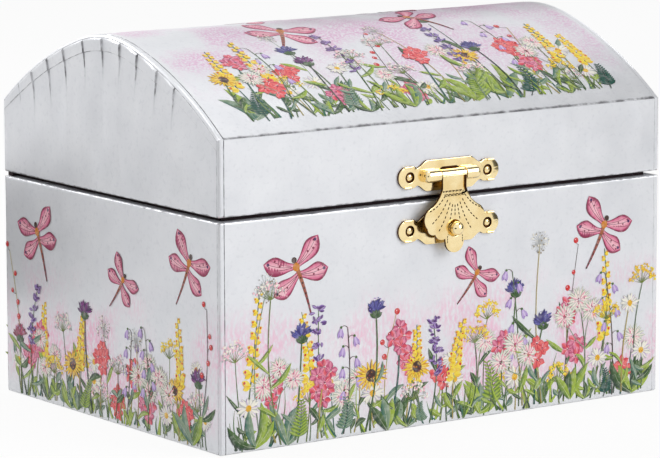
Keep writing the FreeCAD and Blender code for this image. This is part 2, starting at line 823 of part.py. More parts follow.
def make_hasp():
    axis = (clasp_axis_y, clasp_z)
    knuckle = d.hasp_knuckle_width / 2
    hole = (0, stud_z, d.stud_ball_radius + d.stud_clear)
    shell = plate("XZ_Plane", (hasp_front_y, hasp_front_y + d.hasp_plate), hasp_outline(), [hole])
    barrel = rod("X", d.hasp_knuckle_radius, (-knuckle, knuckle), axis, ROLL_SIDES)
    bore = rod("X", d.clasp_pin_radius + d.running_gap, (-knuckle - d.through, knuckle + d.through), axis)
    node("clasp_hasp", cut(fuse(shell, barrel), bore))


# Toothed wheels and coils

STEPS_PER_TURN = 10


def ring_points(teeth, root_radius, tip_radius, root_share, tip_share, phase):
    """A wheel's edge: each tooth is a flat-topped wedge, its widths given as shares of the tooth pitch."""
    points = []
    pitch = 2 * math.pi / teeth
    for index in range(teeth):
        middle = phase + index * pitch
        for radius, share in ((root_radius, -root_share), (tip_radius, -tip_share),
                              (tip_radius, tip_share), (root_radius, root_share)):
            angle = middle + share * pitch / 2
            points.append(Vector(radius * math.cos(angle), radius * math.sin(angle), 0))
    return points


def toothed(teeth, module, thickness, phase=0.0):
    radius = module * teeth / 2
    edge = ring_points(int(teeth), radius - module, radius + 0.75 * module, 0.62, 0.18, phase)
    return flat_face(*edge).extrude(Vector(0, 0, thickness))


def helical(section, height, turns):
    """A form that climbs about +Z: copies of its section, given as (radius, height) pairs, skinned over."""
    steps = int(turns * STEPS_PER_TURN)
    rings = []
    for step in range(steps + 1):
        angle, climb = 2 * math.pi * step / STEPS_PER_TURN, height * step / steps
        rings.append([Vector(radius * math.cos(angle), radius * math.sin(angle), lift + climb)
                      for radius, lift in section])
    return skin(rings)


def coil(radius, wire, height, turns):
    """A spring of square wire."""
    half = wire / 2
    square = [(radius - half, -half), (radius + half, -half), (radius + half, half), (radius - half, half)]
    return helical(square, height, turns)


# Musical movement

def make_mounting():
    side = d.block_side
    rise = (floor_top, high_arm_top)
    block = box((-side, side), (plate_back, inner_y), rise)
    node("movement_block", cut(block, *back_holes(plate_back - d.through, inner_y + d.through)))
    screws = []
    for x, z in screw_spots:
        shank = rod("Y", d.screw_radius, (plate_front + d.bedplate / 4, half_depth), (x, z), FASTENER_SIDES)
        screws.append(fuse(shank, head(d.screw_head_radius, half_depth, x, z, BACK)))
    node("movement_screws", group(*screws))


def bearing_arm(x, low):
    half = d.arm_half_width
    return box((x - half, x + half), (axis_y - half, plate_front), (low, low + d.arm))


def make_bedplate():
    side = d.block_side
    bed = box((-side, side), (plate_front, plate_back), (pad_top, high_arm_top))
    arms = [bearing_arm(0, low_arm), bearing_arm(0, high_arm)]
    arms += [bearing_arm(governor_x, governor_low), bearing_arm(governor_x, high_arm)]
    comb_back = axis_y + d.comb_thickness / 2
    pedestal = box((-comb_root, -comb_root + comb_bed), (comb_back, plate_front), (comb_low, comb_high))
    through = (pad_top, high_arm_top + d.through)
    across = (plate_front - d.through, plate_back + d.through)
    blind = (plate_front - d.through, plate_back - d.bedplate / 4)
    bores = [
        rod("Z", d.arbor_radius + d.running_gap, through, (0, axis_y)),
        rod("Z", d.thin_arbor_radius + d.running_gap, through, (governor_x, axis_y)),
        rod("Y", d.thin_arbor_radius + d.running_gap, blind, (worm_x, d.worm_height)),
    ]
    bores.append(rod("Y", d.winding_arbor_radius + d.running_gap, across, (0, d.barrel_axis_height)))
    bores += [rod("Y", screw_hole, across, spot, FASTENER_SIDES) for spot in screw_spots]
    comb_bore = (comb_back - d.through, comb_back + d.nail_length)
    bores += [rod("Y", d.nail_radius, comb_bore, spot, FASTENER_SIDES) for spot in comb_screws()]
    node("bedplate", cut(fuse(bed, *arms, pedestal), *bores))


def comb_screws():
    middle = -comb_root + comb_bed / 2
    quarter = (comb_high - comb_low) / 4
    return [(middle, comb_low + quarter), (middle, comb_high - quarter)]


def make_comb():
    """A steel comb: slits of growing length part its teeth, so that each sounds its own note."""
    half = d.comb_thickness / 2
    across = (axis_y - half - d.through, axis_y + half + d.through)
    blank = box((-comb_root, -comb_tip), (axis_y - half, axis_y + half), (comb_low, comb_high))
    cuts = [rod("Y", d.nail_radius, across, spot, FASTENER_SIDES) for spot in comb_screws()]
    for index in range(1, int(d.comb_teeth.value)):
        middle = comb_low + comb_pitch * index
        share = 0.52 - 0.24 * index / d.comb_teeth.value
        slit = (middle - d.comb_slit / 2, middle + d.comb_slit / 2)
        cuts.append(box((-comb_tip - d.comb_reach * share, -comb_tip + d.through), across, slit))
    node("comb", cut(blank, *cuts))
    face = axis_y - half
    screws = []
    for x, z in comb_screws():
        span = (face, face + d.comb_thickness + d.nail_length / 2)
        shank = rod("Y", d.nail_radius, span, (x, z), FASTENER_SIDES)
        screws.append(fuse(shank, head(d.nail_head_radius, face, x, z, FRONT)))
    node("comb_screws", group(*screws))


# The tune: where its pins fall around the cylinder, in degrees, leaving an arc free of them
PINS_PER_TRACK = 2
TUNE_STEP = 137.5
BEAT_STEP = 151
FREE_ARC = 40


def make_cylinder():
    """The pinned cylinder: a sleeve on its arbor, with the tune's pins raised on it track by track."""
    sleeve = rod("Z", d.cylinder_radius, (cylinder_low, cylinder_top), (0, axis_y), DISC_SIDES)
    bore = rod("Z", d.arbor_radius, (cylinder_low - d.through, cylinder_top + d.through), (0, axis_y))
    width, sunk = d.pin_width.value, d.pin_height.value / 4
    reach = d.pin_height.value + sunk
    corner = Vector(d.cylinder_radius.value - sunk, -width / 2, -width / 2)
    pins = []
    for track in range(int(d.comb_teeth.value)):
        height = (comb_low + comb_pitch * (track + 0.5)).value
        for beat in range(PINS_PER_TRACK):
            around = (track * TUNE_STEP + beat * BEAT_STEP) % (360 - FREE_ARC)
            pin_solid = Part.makeBox(reach, width, width, corner)
            pin_solid.rotate(Vector(), UP, around + FREE_ARC / 2 - 180)
            pin_solid.translate(Vector(0, 0, height))
            pins.append(pin_solid)
    pin_field = feature(Part.makeCompound(pins), 0, axis_y, 0)
    node("pinned_cylinder", cut(fuse(sleeve, pin_field), bore))
    half_tooth = math.pi / d.gear_teeth.value
    gear = toothed(d.gear_teeth.value, d.gear_module.value, d.gear_thickness.value, half_tooth)
    hub = rod("Z", d.arbor_radius, (cylinder_top - d.through, gear_top + d.through), (0, axis_y))
    node("cylinder_gear", cut(feature(gear, 0, axis_y, cylinder_top), hub))
    phase = math.pi / 2 + math.pi / d.pinion_teeth.value
    pinion = toothed(d.pinion_teeth.value, crown_module.value, d.pinion_length.value, phase)
    pinion_low = pinion_top - d.pinion_length
    spindle = rod("Z", d.arbor_radius, (pinion_low - d.end_play, turntable_bottom), (0, axis_y))
    node("cylinder_arbor", fuse(spindle, feature(pinion, 0, axis_y, pinion_low)))


def crown_tooth():
    """One tooth of the crown wheel, pointing along +Z at the rim's top, as wide as the rim."""
    pitch = math.pi * crown_module.value
    base, tip = 0.31 * pitch, 0.09 * pitch
    high = crown_module.value * 1.75
    outline = [Vector(-base, 0, 0), Vector(base, 0, 0), Vector(tip, 0, high), Vector(-tip, 0, high)]
    wedge = flat_face(*outline).extrude(Vector(0, d.crown_wheel_rim.value, 0))
    wedge.translate(Vector(0, crown_inside.value, crown_root.value))
    return wedge


def make_barrel():
    """The spring barrel: a closed drum with the crown wheel that drives the cylinder on its back."""
    axis = (0, d.barrel_axis_height)
    sides = int(d.crown_teeth.value)
    flange = (barrel_back - d.barrel_floor, barrel_back)
    rim = cut(rod("Y", crown_rim, (barrel_back - crown_root, barrel_back), axis, sides),
              rod("Y", crown_inside, (barrel_back - crown_root - d.through, flange[0]), axis, sides))
    drum = rod("Y", d.barrel_radius, (barrel_back - d.barrel_length, barrel_back), axis, sides)
    teeth = []
    for index in range(sides):
        tooth = crown_tooth()
        tooth.rotate(Vector(), UP, index * 360 / sides)
        teeth.append(tooth)
    crown = feature(Part.makeCompound(teeth), 0, barrel_back, d.barrel_axis_height, FACING_FRONT)
    through = (barrel_back - d.barrel_length - d.through, barrel_back + d.through)
    bore = rod("Y", d.winding_arbor_radius + d.running_gap, through, axis)
    node("spring_barrel", cut(fuse(rim, drum, crown), bore))


def worm_thread():
    """A right-hand thread of the tooth form that the wheel has, sunk a little into its core."""
    pitch, module, radius = worm_pitch.value, d.worm_module.value, d.worm_radius.value
    sunk, tip = radius - 1.3 * module, radius + 0.75 * module
    section = [(sunk, -0.31 * pitch), (tip, -0.09 * pitch), (tip, 0.09 * pitch), (sunk, 0.31 * pitch)]
    return helical(section, pitch * d.worm_turns.value, d.worm_turns.value)


def make_governor():
    shaft = rod("Z", d.thin_arbor_radius, (governor_low, high_arm_top), (governor_x, axis_y))
    pinion = toothed(d.governor_teeth.value, d.gear_module.value, d.gear_thickness.value, math.pi)
    half_turn = math.pi / d.worm_wheel_teeth.value
    wheel = toothed(d.worm_wheel_teeth.value, d.worm_module.value, d.gear_thickness.value, half_turn)
    wheel_low = d.worm_height - d.gear_thickness / 2
    node("governor_wheel", fuse(shaft, feature(pinion, governor_x, axis_y, cylinder_top),
                                feature(wheel, governor_x, axis_y, wheel_low)))
    axis = (worm_x, d.worm_height)
    spindle = rod("Y", d.thin_arbor_radius, (fan_front, plate_front + d.bedplate / 2), axis)
    core_reach = worm_half + d.end_play
    core_span = (axis_y - core_reach, axis_y + core_reach)
    core = rod("Y", d.worm_radius - d.worm_module, core_span, axis, STEPS_PER_TURN)
    thread = feature(worm_thread(), worm_x, axis_y - worm_half, d.worm_height, TURN["Y"])
    node("governor_worm", fuse(spindle, core, thread))
    blade_z = (d.worm_height - d.fan_blade / 2, d.worm_height + d.fan_blade / 2)
    blades = box((worm_x - d.fan_radius, worm_x + d.fan_radius), (fan_front, fan_back), blade_z)
    bore = rod("Y", d.thin_arbor_radius, (fan_front - d.through, fan_back + d.through), axis)
    node("governor_fan", cut(blades, bore))
    half = d.arm_half_width
    rise = (d.worm_height - half, d.worm_height + half)
    post_x = (worm_x + d.worm_radius * 1.7, d.block_side)
    post = box(post_x, (bracket_front, plate_front), rise)
    arm = box((worm_x - half, d.block_side), (bracket_front, bracket_back), rise)
    past = (bracket_front - d.through, bracket_back + d.through)
    bearing = rod("Y", d.thin_arbor_radius + d.running_gap, past, axis)
    node("governor_bracket", cut(fuse(post, arm), bearing))


def make_winding():
    height = d.barrel_axis_height
    front = barrel_back - d.barrel_length - d.end_play
    hub_front = half_depth + d.key_stand_off
    hub_back = hub_front + d.key_hub_length
    arbor_end = hub_back - d.key_stand_off
    node("winding_arbor", rod("Y", d.winding_arbor_radius, (front, arbor_end), (0, height)))
    thick = (height - d.key_plate / 2, height + d.key_plate / 2)
    wing_y = hub_back + d.key_wing_radius * 0.75
    spots = [(d.key_wing_spacing / 2 * way, wing_y) for way in (-1, 1)]
    wings = [rod("Z", d.key_wing_radius, thick, spot, ROLL_SIDES) for spot in spots]
    eyes = [rod("Z", d.key_wing_hole, thick, spot, ROLL_SIDES) for spot in spots]
    web = box((-d.key_hub_radius, d.key_hub_radius), (hub_front + d.key_hub_length / 2, wing_y), thick)
    hub = rod("Y", d.key_hub_radius, (hub_front, hub_back), (0, height), ROLL_SIDES)
    bore = rod("Y", d.winding_arbor_radius, (hub_front - d.through, arbor_end), (0, height))
    node("winding_key", cut(fuse(hub, web, *wings), bore, *eyes))


def make_stop_wire():
    """A bent wire: the lid's lip presses its top, and its finger then stands beside the fan."""
    radius, x, z = d.wire_radius, d.wire_offset, d.worm_height
    fan_y = (fan_front + fan_back) / 2
    tip = worm_x + d.fan_radius + d.side_gap
    upright = rod("Z", radius, (z - radius, lid_lining_bottom - d.running_gap), (x, wire_y), FASTENER_SIDES)
    run = rod("Y", radius, (fan_y - radius, wire_y), (x, z), FASTENER_SIDES)
    finger = rod("X", radius, (tip, x), (fan_y, z), FASTENER_SIDES)
    node("stop_wire", fuse(upright, run, finger))


# Dancer on the spindle

FIGURE_SIDES = 7
GLOBE_ROWS = 5
TUTU_FRILLS = 14
SCALLOP = 0.9


def between(start, end, profile):
    """A straight limb: (share of the way, radius) pairs from its start to its end."""
    return limb([(start + (end - start) * share, radius) for share, radius in profile], FIGURE_SIDES)


def raised_arm(way):
    """An arm raised in a bow over the head, from inside the shoulder to the fingertips."""
    stations = []
    for share in (0, 0.15, 0.3, 0.45, 0.6, 0.75, 0.9, 1):
        angle = math.radians(-80 + 152 * share)
        bow = Vector(0.165 * math.cos(angle) * way, 0, 0.82 + 0.165 * math.sin(angle))
        stations.append((bow, 0.021 - 0.011 * share))
    return limb(stations, FIGURE_SIDES)


def figure_shape(tall):
    """A plain doll on one toe, drawn one unit high to its fingertips and then scaled."""
    levels = (
        (0.415, 0.040), (0.455, 0.066), (0.535, 0.045), (0.615, 0.060),
        (0.665, 0.066), (0.700, 0.022), (0.740, 0.019),
    )
    torso = limb([(Vector(0, 0, level), radius) for level, radius in levels], FIGURE_SIDES)
    toe, hip = Vector(0, 0, -0.002), Vector(-0.016, 0, 0.43)
    raised_hip, knee, foot = Vector(0.024, 0, 0.43), Vector(0.16, -0.06, 0.31), Vector(0.02, -0.03, 0.235)
    pieces = [
        between(toe, hip, ((0, 0.010), (0.12, 0.017), (0.38, 0.026), (0.55, 0.024), (1, 0.038))),
        between(raised_hip, knee, ((0, 0.038), (0.9, 0.028), (1.08, 0.022))),
        between(knee, foot, ((-0.1, 0.022), (0.3, 0.025), (0.8, 0.014), (1, 0.010))),
        globe(Vector(0, 0, 0.772), 0.052, FIGURE_SIDES, GLOBE_ROWS),
        globe(Vector(0, 0.028, 0.828), 0.028, FIGURE_SIDES, GLOBE_ROWS),
        raised_arm(-1),
        raised_arm(1),
    ]
    whole = torso.fuse(pieces)
    whole.scale(tall)
    return whole


def make_dancer():
    disc = rod("Z", d.turntable_radius, (turntable_bottom, turntable_top), (0, axis_y), DISC_SIDES)
    node("turntable", disc)
    wire = d.spring_wire
    spring = coil(d.spring_radius.value, wire.value, (d.spring_height - wire).value, d.spring_turns.value)
    node("dancer_spring", feature(spring, 0, axis_y, turntable_top + wire / 2))
    plug = rod("Z", d.plug_radius, (spring_top, figure_foot), (0, axis_y))
    figure = feature(figure_shape(figure_height.value), 0, axis_y, figure_foot)
    node("dancer_figure", fuse(plug, figure))
    skirt = feature(tutu_shape(figure_height.value), 0, axis_y, figure_foot)
    waist_hole = rod("Z", figure_height * 0.07, (figure_foot, figure_foot + figure_height), (0, axis_y), BALL_SIDES)
    node("tutu", cut(skirt, waist_hole))


def tutu_shape(tall):
    """A stiff flat skirt: a low cone from its rim up to the waist, with a scalloped edge."""
    waist, rim = tall * 0.079, d.tutu_radius.value
    low, edge, high = tall * 0.44, tall * 0.012, tall * 0.035
    rings = []
    under, rim_low = (waist, 0, low), (rim, SCALLOP, low)
    rim_high, top = (rim, SCALLOP, low + edge), (waist, 0, low + high)
    for radius, dip, level in (under, rim_low, rim_high, top):
        corners = []
        for step in range(2 * TUTU_FRILLS):
            angle, reach = math.pi * step / TUTU_FRILLS, radius - dip * (step % 2)
            corners.append(Vector(reach * math.cos(angle), reach * math.sin(angle), level))
        rings.append(corners)
    return skin(rings)


def build():
    make_base()
    make_linings()
    make_compartments()
    make_stage()
    make_lid()
    make_lid_inside()
    make_hinges()
    make_clasp()
    make_hasp()
    make_mounting()
    make_bedplate()
    make_comb()
    make_cylinder()
    make_barrel()
    make_governor()
    make_winding()
    make_stop_wire()
    make_dancer()


def check_and_write():
    doc.recompute()
    failed = [obj.Label for obj in doc.Objects if "Invalid" in obj.State or "Error" in obj.State]
    if failed:
        raise RuntimeError(f"failed to recompute: {failed}")
    for part in nodes:
        if part.Shape.isNull() or not part.Shape.isValid():
            raise RuntimeError(f"bad shape: {part.Label}")
    os.makedirs("parts", exist_ok=True)
    for part in nodes:
        part.Shape.exportStep(f"parts/{part.Label}.step")
        print(part.Label, len(part.Shape.Solids), round(part.Shape.Volume, 2))


build()
check_and_write()
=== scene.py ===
# %% [markdown]
# # A musical jewellery box with a domed lid
# The real box is greyboard covered with pearly printed paper. It has a brass hasp in front, pink satin
# inside, and a dancer on a musical movement. The jointed model comes first, and each later cell dresses one
# piece of it, in metres. A new piece could be parented by hand.

# %% Load the jointed model
import random
from cmath import phase, rect
from math import asin, copysign, cos, degrees, exp, pi, radians, sin, sqrt

import bmesh
import bpy
from mathutils import Matrix, Vector, noise


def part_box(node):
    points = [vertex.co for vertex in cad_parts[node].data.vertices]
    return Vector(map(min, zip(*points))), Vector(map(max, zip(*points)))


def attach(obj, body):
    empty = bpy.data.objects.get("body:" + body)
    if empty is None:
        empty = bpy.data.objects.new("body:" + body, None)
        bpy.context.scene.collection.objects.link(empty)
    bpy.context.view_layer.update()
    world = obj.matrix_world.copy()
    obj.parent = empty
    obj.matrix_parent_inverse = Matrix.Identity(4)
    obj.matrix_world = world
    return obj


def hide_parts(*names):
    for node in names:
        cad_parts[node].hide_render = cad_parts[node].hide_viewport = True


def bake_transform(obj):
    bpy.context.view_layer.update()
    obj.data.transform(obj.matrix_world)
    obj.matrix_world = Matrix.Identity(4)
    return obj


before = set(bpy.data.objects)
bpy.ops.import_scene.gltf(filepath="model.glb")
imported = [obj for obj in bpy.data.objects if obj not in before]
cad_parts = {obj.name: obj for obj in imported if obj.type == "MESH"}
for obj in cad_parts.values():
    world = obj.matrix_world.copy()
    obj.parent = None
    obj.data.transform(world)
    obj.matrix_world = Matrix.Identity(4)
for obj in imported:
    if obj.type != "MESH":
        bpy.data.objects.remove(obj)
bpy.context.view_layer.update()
mm = 0.001

# %% [markdown]
# Every size below comes from the model's own boxes, so the dressing fits it. Only the dome's two radii
# can't be read from a box: a tight arc over the crown, then a flatter arc down each flank that meets it
# without a corner.

# %% Sizes of the box
base_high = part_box("base_wrap_paper")[1]
lid_low, lid_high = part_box("lid_end_papers")
half_width, half_depth = base_high.x, base_high.y
base_rim, lid_rim, dome_top = base_high.z, lid_low.z, lid_high.z
board = half_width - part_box("wall_linings")[1].x
crease_above_rail = 0.15 * mm
dome_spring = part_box("lid_front_rail")[1].z + crease_above_rail
crown_radius, crown_half_chord = 52.5 * mm, 14.7 * mm
sizes = [round(size / mm, 1) for size in (2 * half_width, 2 * half_depth, dome_top)]
print("box", sizes, "mm, wall", round(board / mm, 2), "mm")

# %% [markdown]
# The camera stands where the photographer's stood: low, far off with a long lens, to the box's left. The
# picture is 660 by 458 pixels, and the focal length is known in pixels, so the lens follows from the 36 mm
# sensor. A small shift puts the middle of the lens where it was in the picture, which keeps the upright
# edges as they are.

# %% Camera
picture_width, picture_height = 660, 458
focal_pixels = 3889.4
lens_middle = (331.1, 212.2)
azimuth, elevation, roll = (radians(angle) for angle in (-35.37, 8.79, -0.166))
box_middle = Vector((0, 0, 55 * mm))
camera_distance = 1179.2 * mm

toward_camera = Vector((sin(azimuth) * cos(elevation), -cos(azimuth) * cos(elevation),
                        sin(elevation)))
level_right = Vector((0, 0, 1)).cross(toward_camera).normalized()
camera_right = Matrix.Rotation(roll, 3, toward_camera) @ level_right
camera_up = toward_camera.cross(camera_right)


def linked(name, data):
    """A new object in the scene, made of a mesh, a lamp or a camera."""
    made = bpy.data.objects.new(name, data)
    bpy.context.collection.objects.link(made)
    return made


camera = linked("camera", bpy.data.cameras.new("camera"))
camera.data.sensor_width = 36
camera.data.lens = focal_pixels * camera.data.sensor_width / picture_width
camera.data.shift_x = (picture_width / 2 - lens_middle[0]) / picture_width
camera.data.shift_y = (lens_middle[1] - picture_height / 2) / picture_width
camera.data.clip_end = 20
axes = Matrix((camera_right, camera_up, toward_camera)).transposed().to_4x4()
camera.matrix_world = Matrix.Translation(box_middle + toward_camera * camera_distance) @ axes
bpy.context.scene.camera = camera
print("lens", round(camera.data.lens, 1), "mm")

# %% [markdown]
# A finish is a material made of nodes. Writing out every node and link takes many lines, so these helpers
# keep one tree, add nodes to it by kind, and join their sockets. Colours are written as they look on screen
# and turned into the linear values that the renderer works with.

# %% Helper for finishes
white = (1.0, 1.0, 1.0, 1.0)


def screen(red, green, blue):
    """Screen values 0 to 255 as the renderer's linear colour, by the usual screen curve."""
    parts = [value / 255 for value in (red, green, blue)]
    linear = [part / 12.92 if part <= 0.04045 else ((part + 0.055) / 1.055) ** 2.4 for part in parts]
    return (*linear, 1.0)


class Nodes:
    """Adds nodes to a tree and joins their sockets."""
    def __init__(self, tree):
        self.tree = tree

    def node(self, kind, inputs=None, **settings):
        made = self.tree.nodes.new("ShaderNode" + kind)
        for name, value in settings.items():
            setattr(made, name, value)
        for socket, value in (inputs or {}).items():
            self.join(value, made.inputs[socket])
        return made

    def join(self, value, socket):
        if isinstance(value, bpy.types.NodeSocket):
            self.tree.links.new(value, socket)
        else:
            socket.default_value = value

    def maths(self, way, first, second=0.0):
        return self.node("Math", {0: first, 1: second}, operation=way).outputs[0]


class Finish(Nodes):
    """A material whose nodes end in one shader; values are set on that shader."""
    def __init__(self, name, **values):
        self.material = bpy.data.materials.new(name)
        self.material.use_nodes = True
        super().__init__(self.material.node_tree)
        self.shader = self.tree.nodes["Principled BSDF"]
        for socket, value in values.items():
            self.put(socket.replace("_", " "), value)
        self.place = self.node("TexCoord").outputs["Object"]

    def put(self, socket, value):
        self.join(value, self.shader.inputs[socket])

    def clouds(self, size, detail=3.0, place=None, stretch=None):
        """Noise from 0 to 1 whose blotches are about as wide as size, in metres."""
        place = place or self.place
        if stretch:
            place = self.node("Mapping", {"Vector": place, "Scale": stretch}).outputs["Vector"]
        return self.node("TexNoise", {"Vector": place, "Scale": 1 / size, "Detail": detail}).outputs["Fac"]

    def band(self, value, start, end):
        """0 below start, 1 above end, and smooth between."""
        inputs = {"Value": value, "From Min": start, "From Max": end}
        return self.node("MapRange", inputs, interpolation_type="SMOOTHSTEP").outputs["Result"]

    def scaled(self, share, low, high):
        """A number that goes from low to high as share goes from 0 to 1."""
        return self.node("MapRange", {"Value": share, "To Min": low, "To Max": high}).outputs["Result"]

    def blend(self, share, first, second):
        """From one colour to another as share goes from 0 to 1; 6, 7 and 2 are a mix's colour sockets."""
        return self.node("Mix", {0: share, 6: first, 7: second}, data_type="RGBA").outputs[2]

    def colour(self, share, fair, deep):
        """Base colour between two screen colours."""
        self.put("Base Color", self.blend(share, screen(*fair), screen(*deep)))

    def rough(self, share, low, high):
        self.put("Roughness", self.scaled(share, low, high))

    def bump(self, height, depth, below=None):
        """Relief of that depth, in metres, on top of the relief below."""
        made = self.node("Bump", {"Height": height, "Distance": depth})
        if below:
            self.join(below, made.inputs["Normal"])
        return made.outputs["Normal"]


print("finish helper ready; mid grey is", round(screen(128, 128, 128)[0], 3), "in linear light")

# %% [markdown]
# A studio sweep is a pale floor that melts into a white background. A bright lamp could burn it white, and
# would bleach the box too. Here the floor and the world show white only to rays from the camera and from
# mirrors, and the floor keeps a share of its own shading, so the box's soft shadow still falls on it.

# %% Floor and background
def shows_background(nodes):
    """1 for a ray from the camera, a mirror or glass, and 0 for the light that falls on things."""
    ray = nodes.node("LightPath").outputs
    mirrors = nodes.maths("MAXIMUM", ray["Is Glossy Ray"], ray["Is Transmission Ray"])
    return nodes.maths("MAXIMUM", ray["Is Camera Ray"], mirrors)


whitened = 0.92
floor_finish = Finish("studio_floor", Roughness=0.9)
floor_finish.colour(floor_finish.clouds(4 * mm), (236, 236, 236), (242, 242, 242))
white_share = floor_finish.maths("MULTIPLY", shows_background(floor_finish), whitened)
white_glow = floor_finish.node("Emission", {"Color": white, "Strength": 1.0}).outputs[0]
shaded = floor_finish.shader.outputs[0]
floor_mix = floor_finish.node("MixShader", {0: white_share, 1: shaded, 2: white_glow})
floor_finish.join(floor_mix.outputs[0], floor_finish.tree.nodes["Material Output"].inputs["Surface"])

floor_reach, floor_drop = 4.0, 0.2 * mm
four_corners = ((-1, -1), (1, -1), (1, 1), (-1, 1))
floor_mesh = bpy.data.meshes.new("studio_floor")
floor_corners = [(x * floor_reach, y * floor_reach, -floor_drop) for x, y in four_corners]
floor_mesh.from_pydata(floor_corners, [], [(0, 1, 2, 3)])
floor_mesh.materials.append(floor_finish.material)
linked("studio_floor", floor_mesh)

room_brightness = 0.23
world = bpy.data.worlds.new("studio")
world.use_nodes = True
bpy.context.scene.world = world
sky = Nodes(world.node_tree)
room_light = sky.tree.nodes["Background"]
sky.join(white, room_light.inputs["Color"])
sky.join(room_brightness, room_light.inputs["Strength"])
white_wall = sky.node("Background", {"Color": white, "Strength": 1.0}).outputs[0]
wall_mix = sky.node("MixShader", {0: shows_background(sky), 1: room_light.outputs[0], 2: white_wall})
sky.join(wall_mix.outputs[0], sky.tree.nodes["World Output"].inputs["Surface"])
bpy.context.scene.view_settings.view_transform = "Standard"
print("floor reaches", floor_reach, "m each way; the room's light is", room_brightness)

# %% [markdown]
# Three soft lamps light the box: a large one in front and to the right, so the left end falls into a light
# grey, a small one behind that shows the left end's folds, and a large one above. Sun lamps would give hard
# shadows. Brass and pearly paper mirror the room, and in an all-white room they look like paint. So grey
# and dark cards that only mirrors see stand around, as a photographer would place them.

# %% Lamps
def soft_lamp(name, place, width, watts):
    lamp = bpy.data.lights.new(name, "AREA")
    lamp.size = width
    lamp.energy = watts
    holder = linked(name, lamp)
    holder.location = place
    holder.rotation_euler = (Vector(place) - box_middle).to_track_quat("Z", "Y").to_euler()


soft_lamp("main_lamp", (0.75, -1.15, 0.75), 0.9, 13.5)
soft_lamp("raking_lamp", (-0.5, 0.95, 0.75), 0.45, 7.5)
soft_lamp("top_lamp", (0.1, 0.1, 1.5), 1.0, 6)


def dark_card(name, place, width, height, shade):
    """An upright card that faces the box, with grey blotches of that shade; only mirrors see it."""
    across = Vector((-place[1], place[0], 0)).normalized() * width / 2
    up = Vector((0, 0, height / 2))
    card = bpy.data.meshes.new(name)
    card.from_pydata([Vector(place) + across * aside + up * rise for aside, rise in four_corners], [],
                     [(0, 1, 2, 3)])
    card_finish = Finish(name, Roughness=1.0)
    card_finish.colour(card_finish.clouds(30 * mm), (shade, shade, shade), (30, 30, 30))
    card.materials.append(card_finish.material)
    holder = linked(name, card)
    holder.visible_camera = holder.visible_shadow = holder.visible_diffuse = False


dark_card("left_card", (-0.75, -0.55, 0.05), 0.5, 0.5, 24)
dark_card("right_card", (0.7, 0.35, 0.25), 0.9, 0.5, 24)
dark_card("high_card", (0.45, -0.25, 0.9), 0.6, 0.5, 24)
dark_card("low_card", (-0.098, 0.12, 0.038), 0.092, 0.04, 225)
dark_card("front_card", (0.39, -0.25, 0.12), 0.32, 0.3, 110)
dark_card("dome_card", (0.265, -0.015, 0.27), 0.16, 0.22, 36)
print("three soft lamps and six cards")

# %% [markdown]
# A piece is a mesh with a finish, a material slot and a body that carries it. One helper makes it from
# points and faces. A curved sheet is a grid of points, so others join its rows, close the ends of a tube,
# and put several shapes into one. Modifiers could do some of this, but plain faces are easier to check.

# %% Helpers for pieces
def piece(name, points, faces, finish, body, replaces=(), sharp=40):
    """A new piece of the box; edges that turn by more than sharp degrees stay crisp."""
    mesh = bpy.data.meshes.new(name)
    mesh.from_pydata(points, [], faces)
    mesh.update()
    return dressed(linked(name, mesh), finish, body, replaces, sharp)


def dressed(made, finish, body, replaces=(), sharp=40):
    """Gives an object its finish, smooth shading and, when one is named, the body that carries it."""
    made.data.materials.append(finish.material)
    made.data.shade_smooth()
    made.data.set_sharp_from_angle(angle=radians(sharp))
    if body:
        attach(made, body)
    if replaces:
        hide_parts(*replaces)
    return made


def grid_faces(rows, columns, closed=False, first=0):
    """Faces between rows of points; closed joins the last column to the first."""
    faces = []
    for row in range(rows - 1):
        for column in range(columns if closed else columns - 1):
            following = (column + 1) % columns
            low, high = first + row * columns, first + (row + 1) * columns
            faces.append((low + column, low + following, high + following, high + column))
    return faces


def tube_faces(rings, sides, first=0):
    """Faces of a tube of rings of points, with a cap on each end."""
    last = first + (rings - 1) * sides
    caps = [tuple(range(first + sides - 1, first - 1, -1)), tuple(range(last, last + sides))]
    return grid_faces(rings, sides, closed=True, first=first) + caps


def full_turn(sides):
    """Angles of a full turn in equal steps."""
    return [2 * pi * side / sides for side in range(sides)]


def joined(shapes):
    """Points and faces of several shapes as one."""
    points, faces = [], []
    for more_points, more_faces in shapes:
        faces += [tuple(len(points) + corner for corner in face) for face in more_faces]
        points += more_points
    return points, faces


def tidy(made, turn=True, gap=0.002 * mm):
    """Joins points that fall on each other, and turns all faces outward unless they already are."""
    work = bmesh.new()
    work.from_mesh(made.data)
    bmesh.ops.remove_doubles(work, verts=work.verts, dist=gap)
    bmesh.ops.dissolve_degenerate(work, edges=work.edges, dist=gap)
    if turn:
        bmesh.ops.recalc_face_normals(work, faces=work.faces)
    work.to_mesh(made.data)
    work.free()


def paint(made, name, tints):
    """Stores one colour for each point, for the finish to read."""
    layer = made.data.color_attributes.new(name, "FLOAT_COLOR", "POINT")
    layer.data.foreach_set("color", [part for tint in tints for part in tint])


print("piece helpers ready")
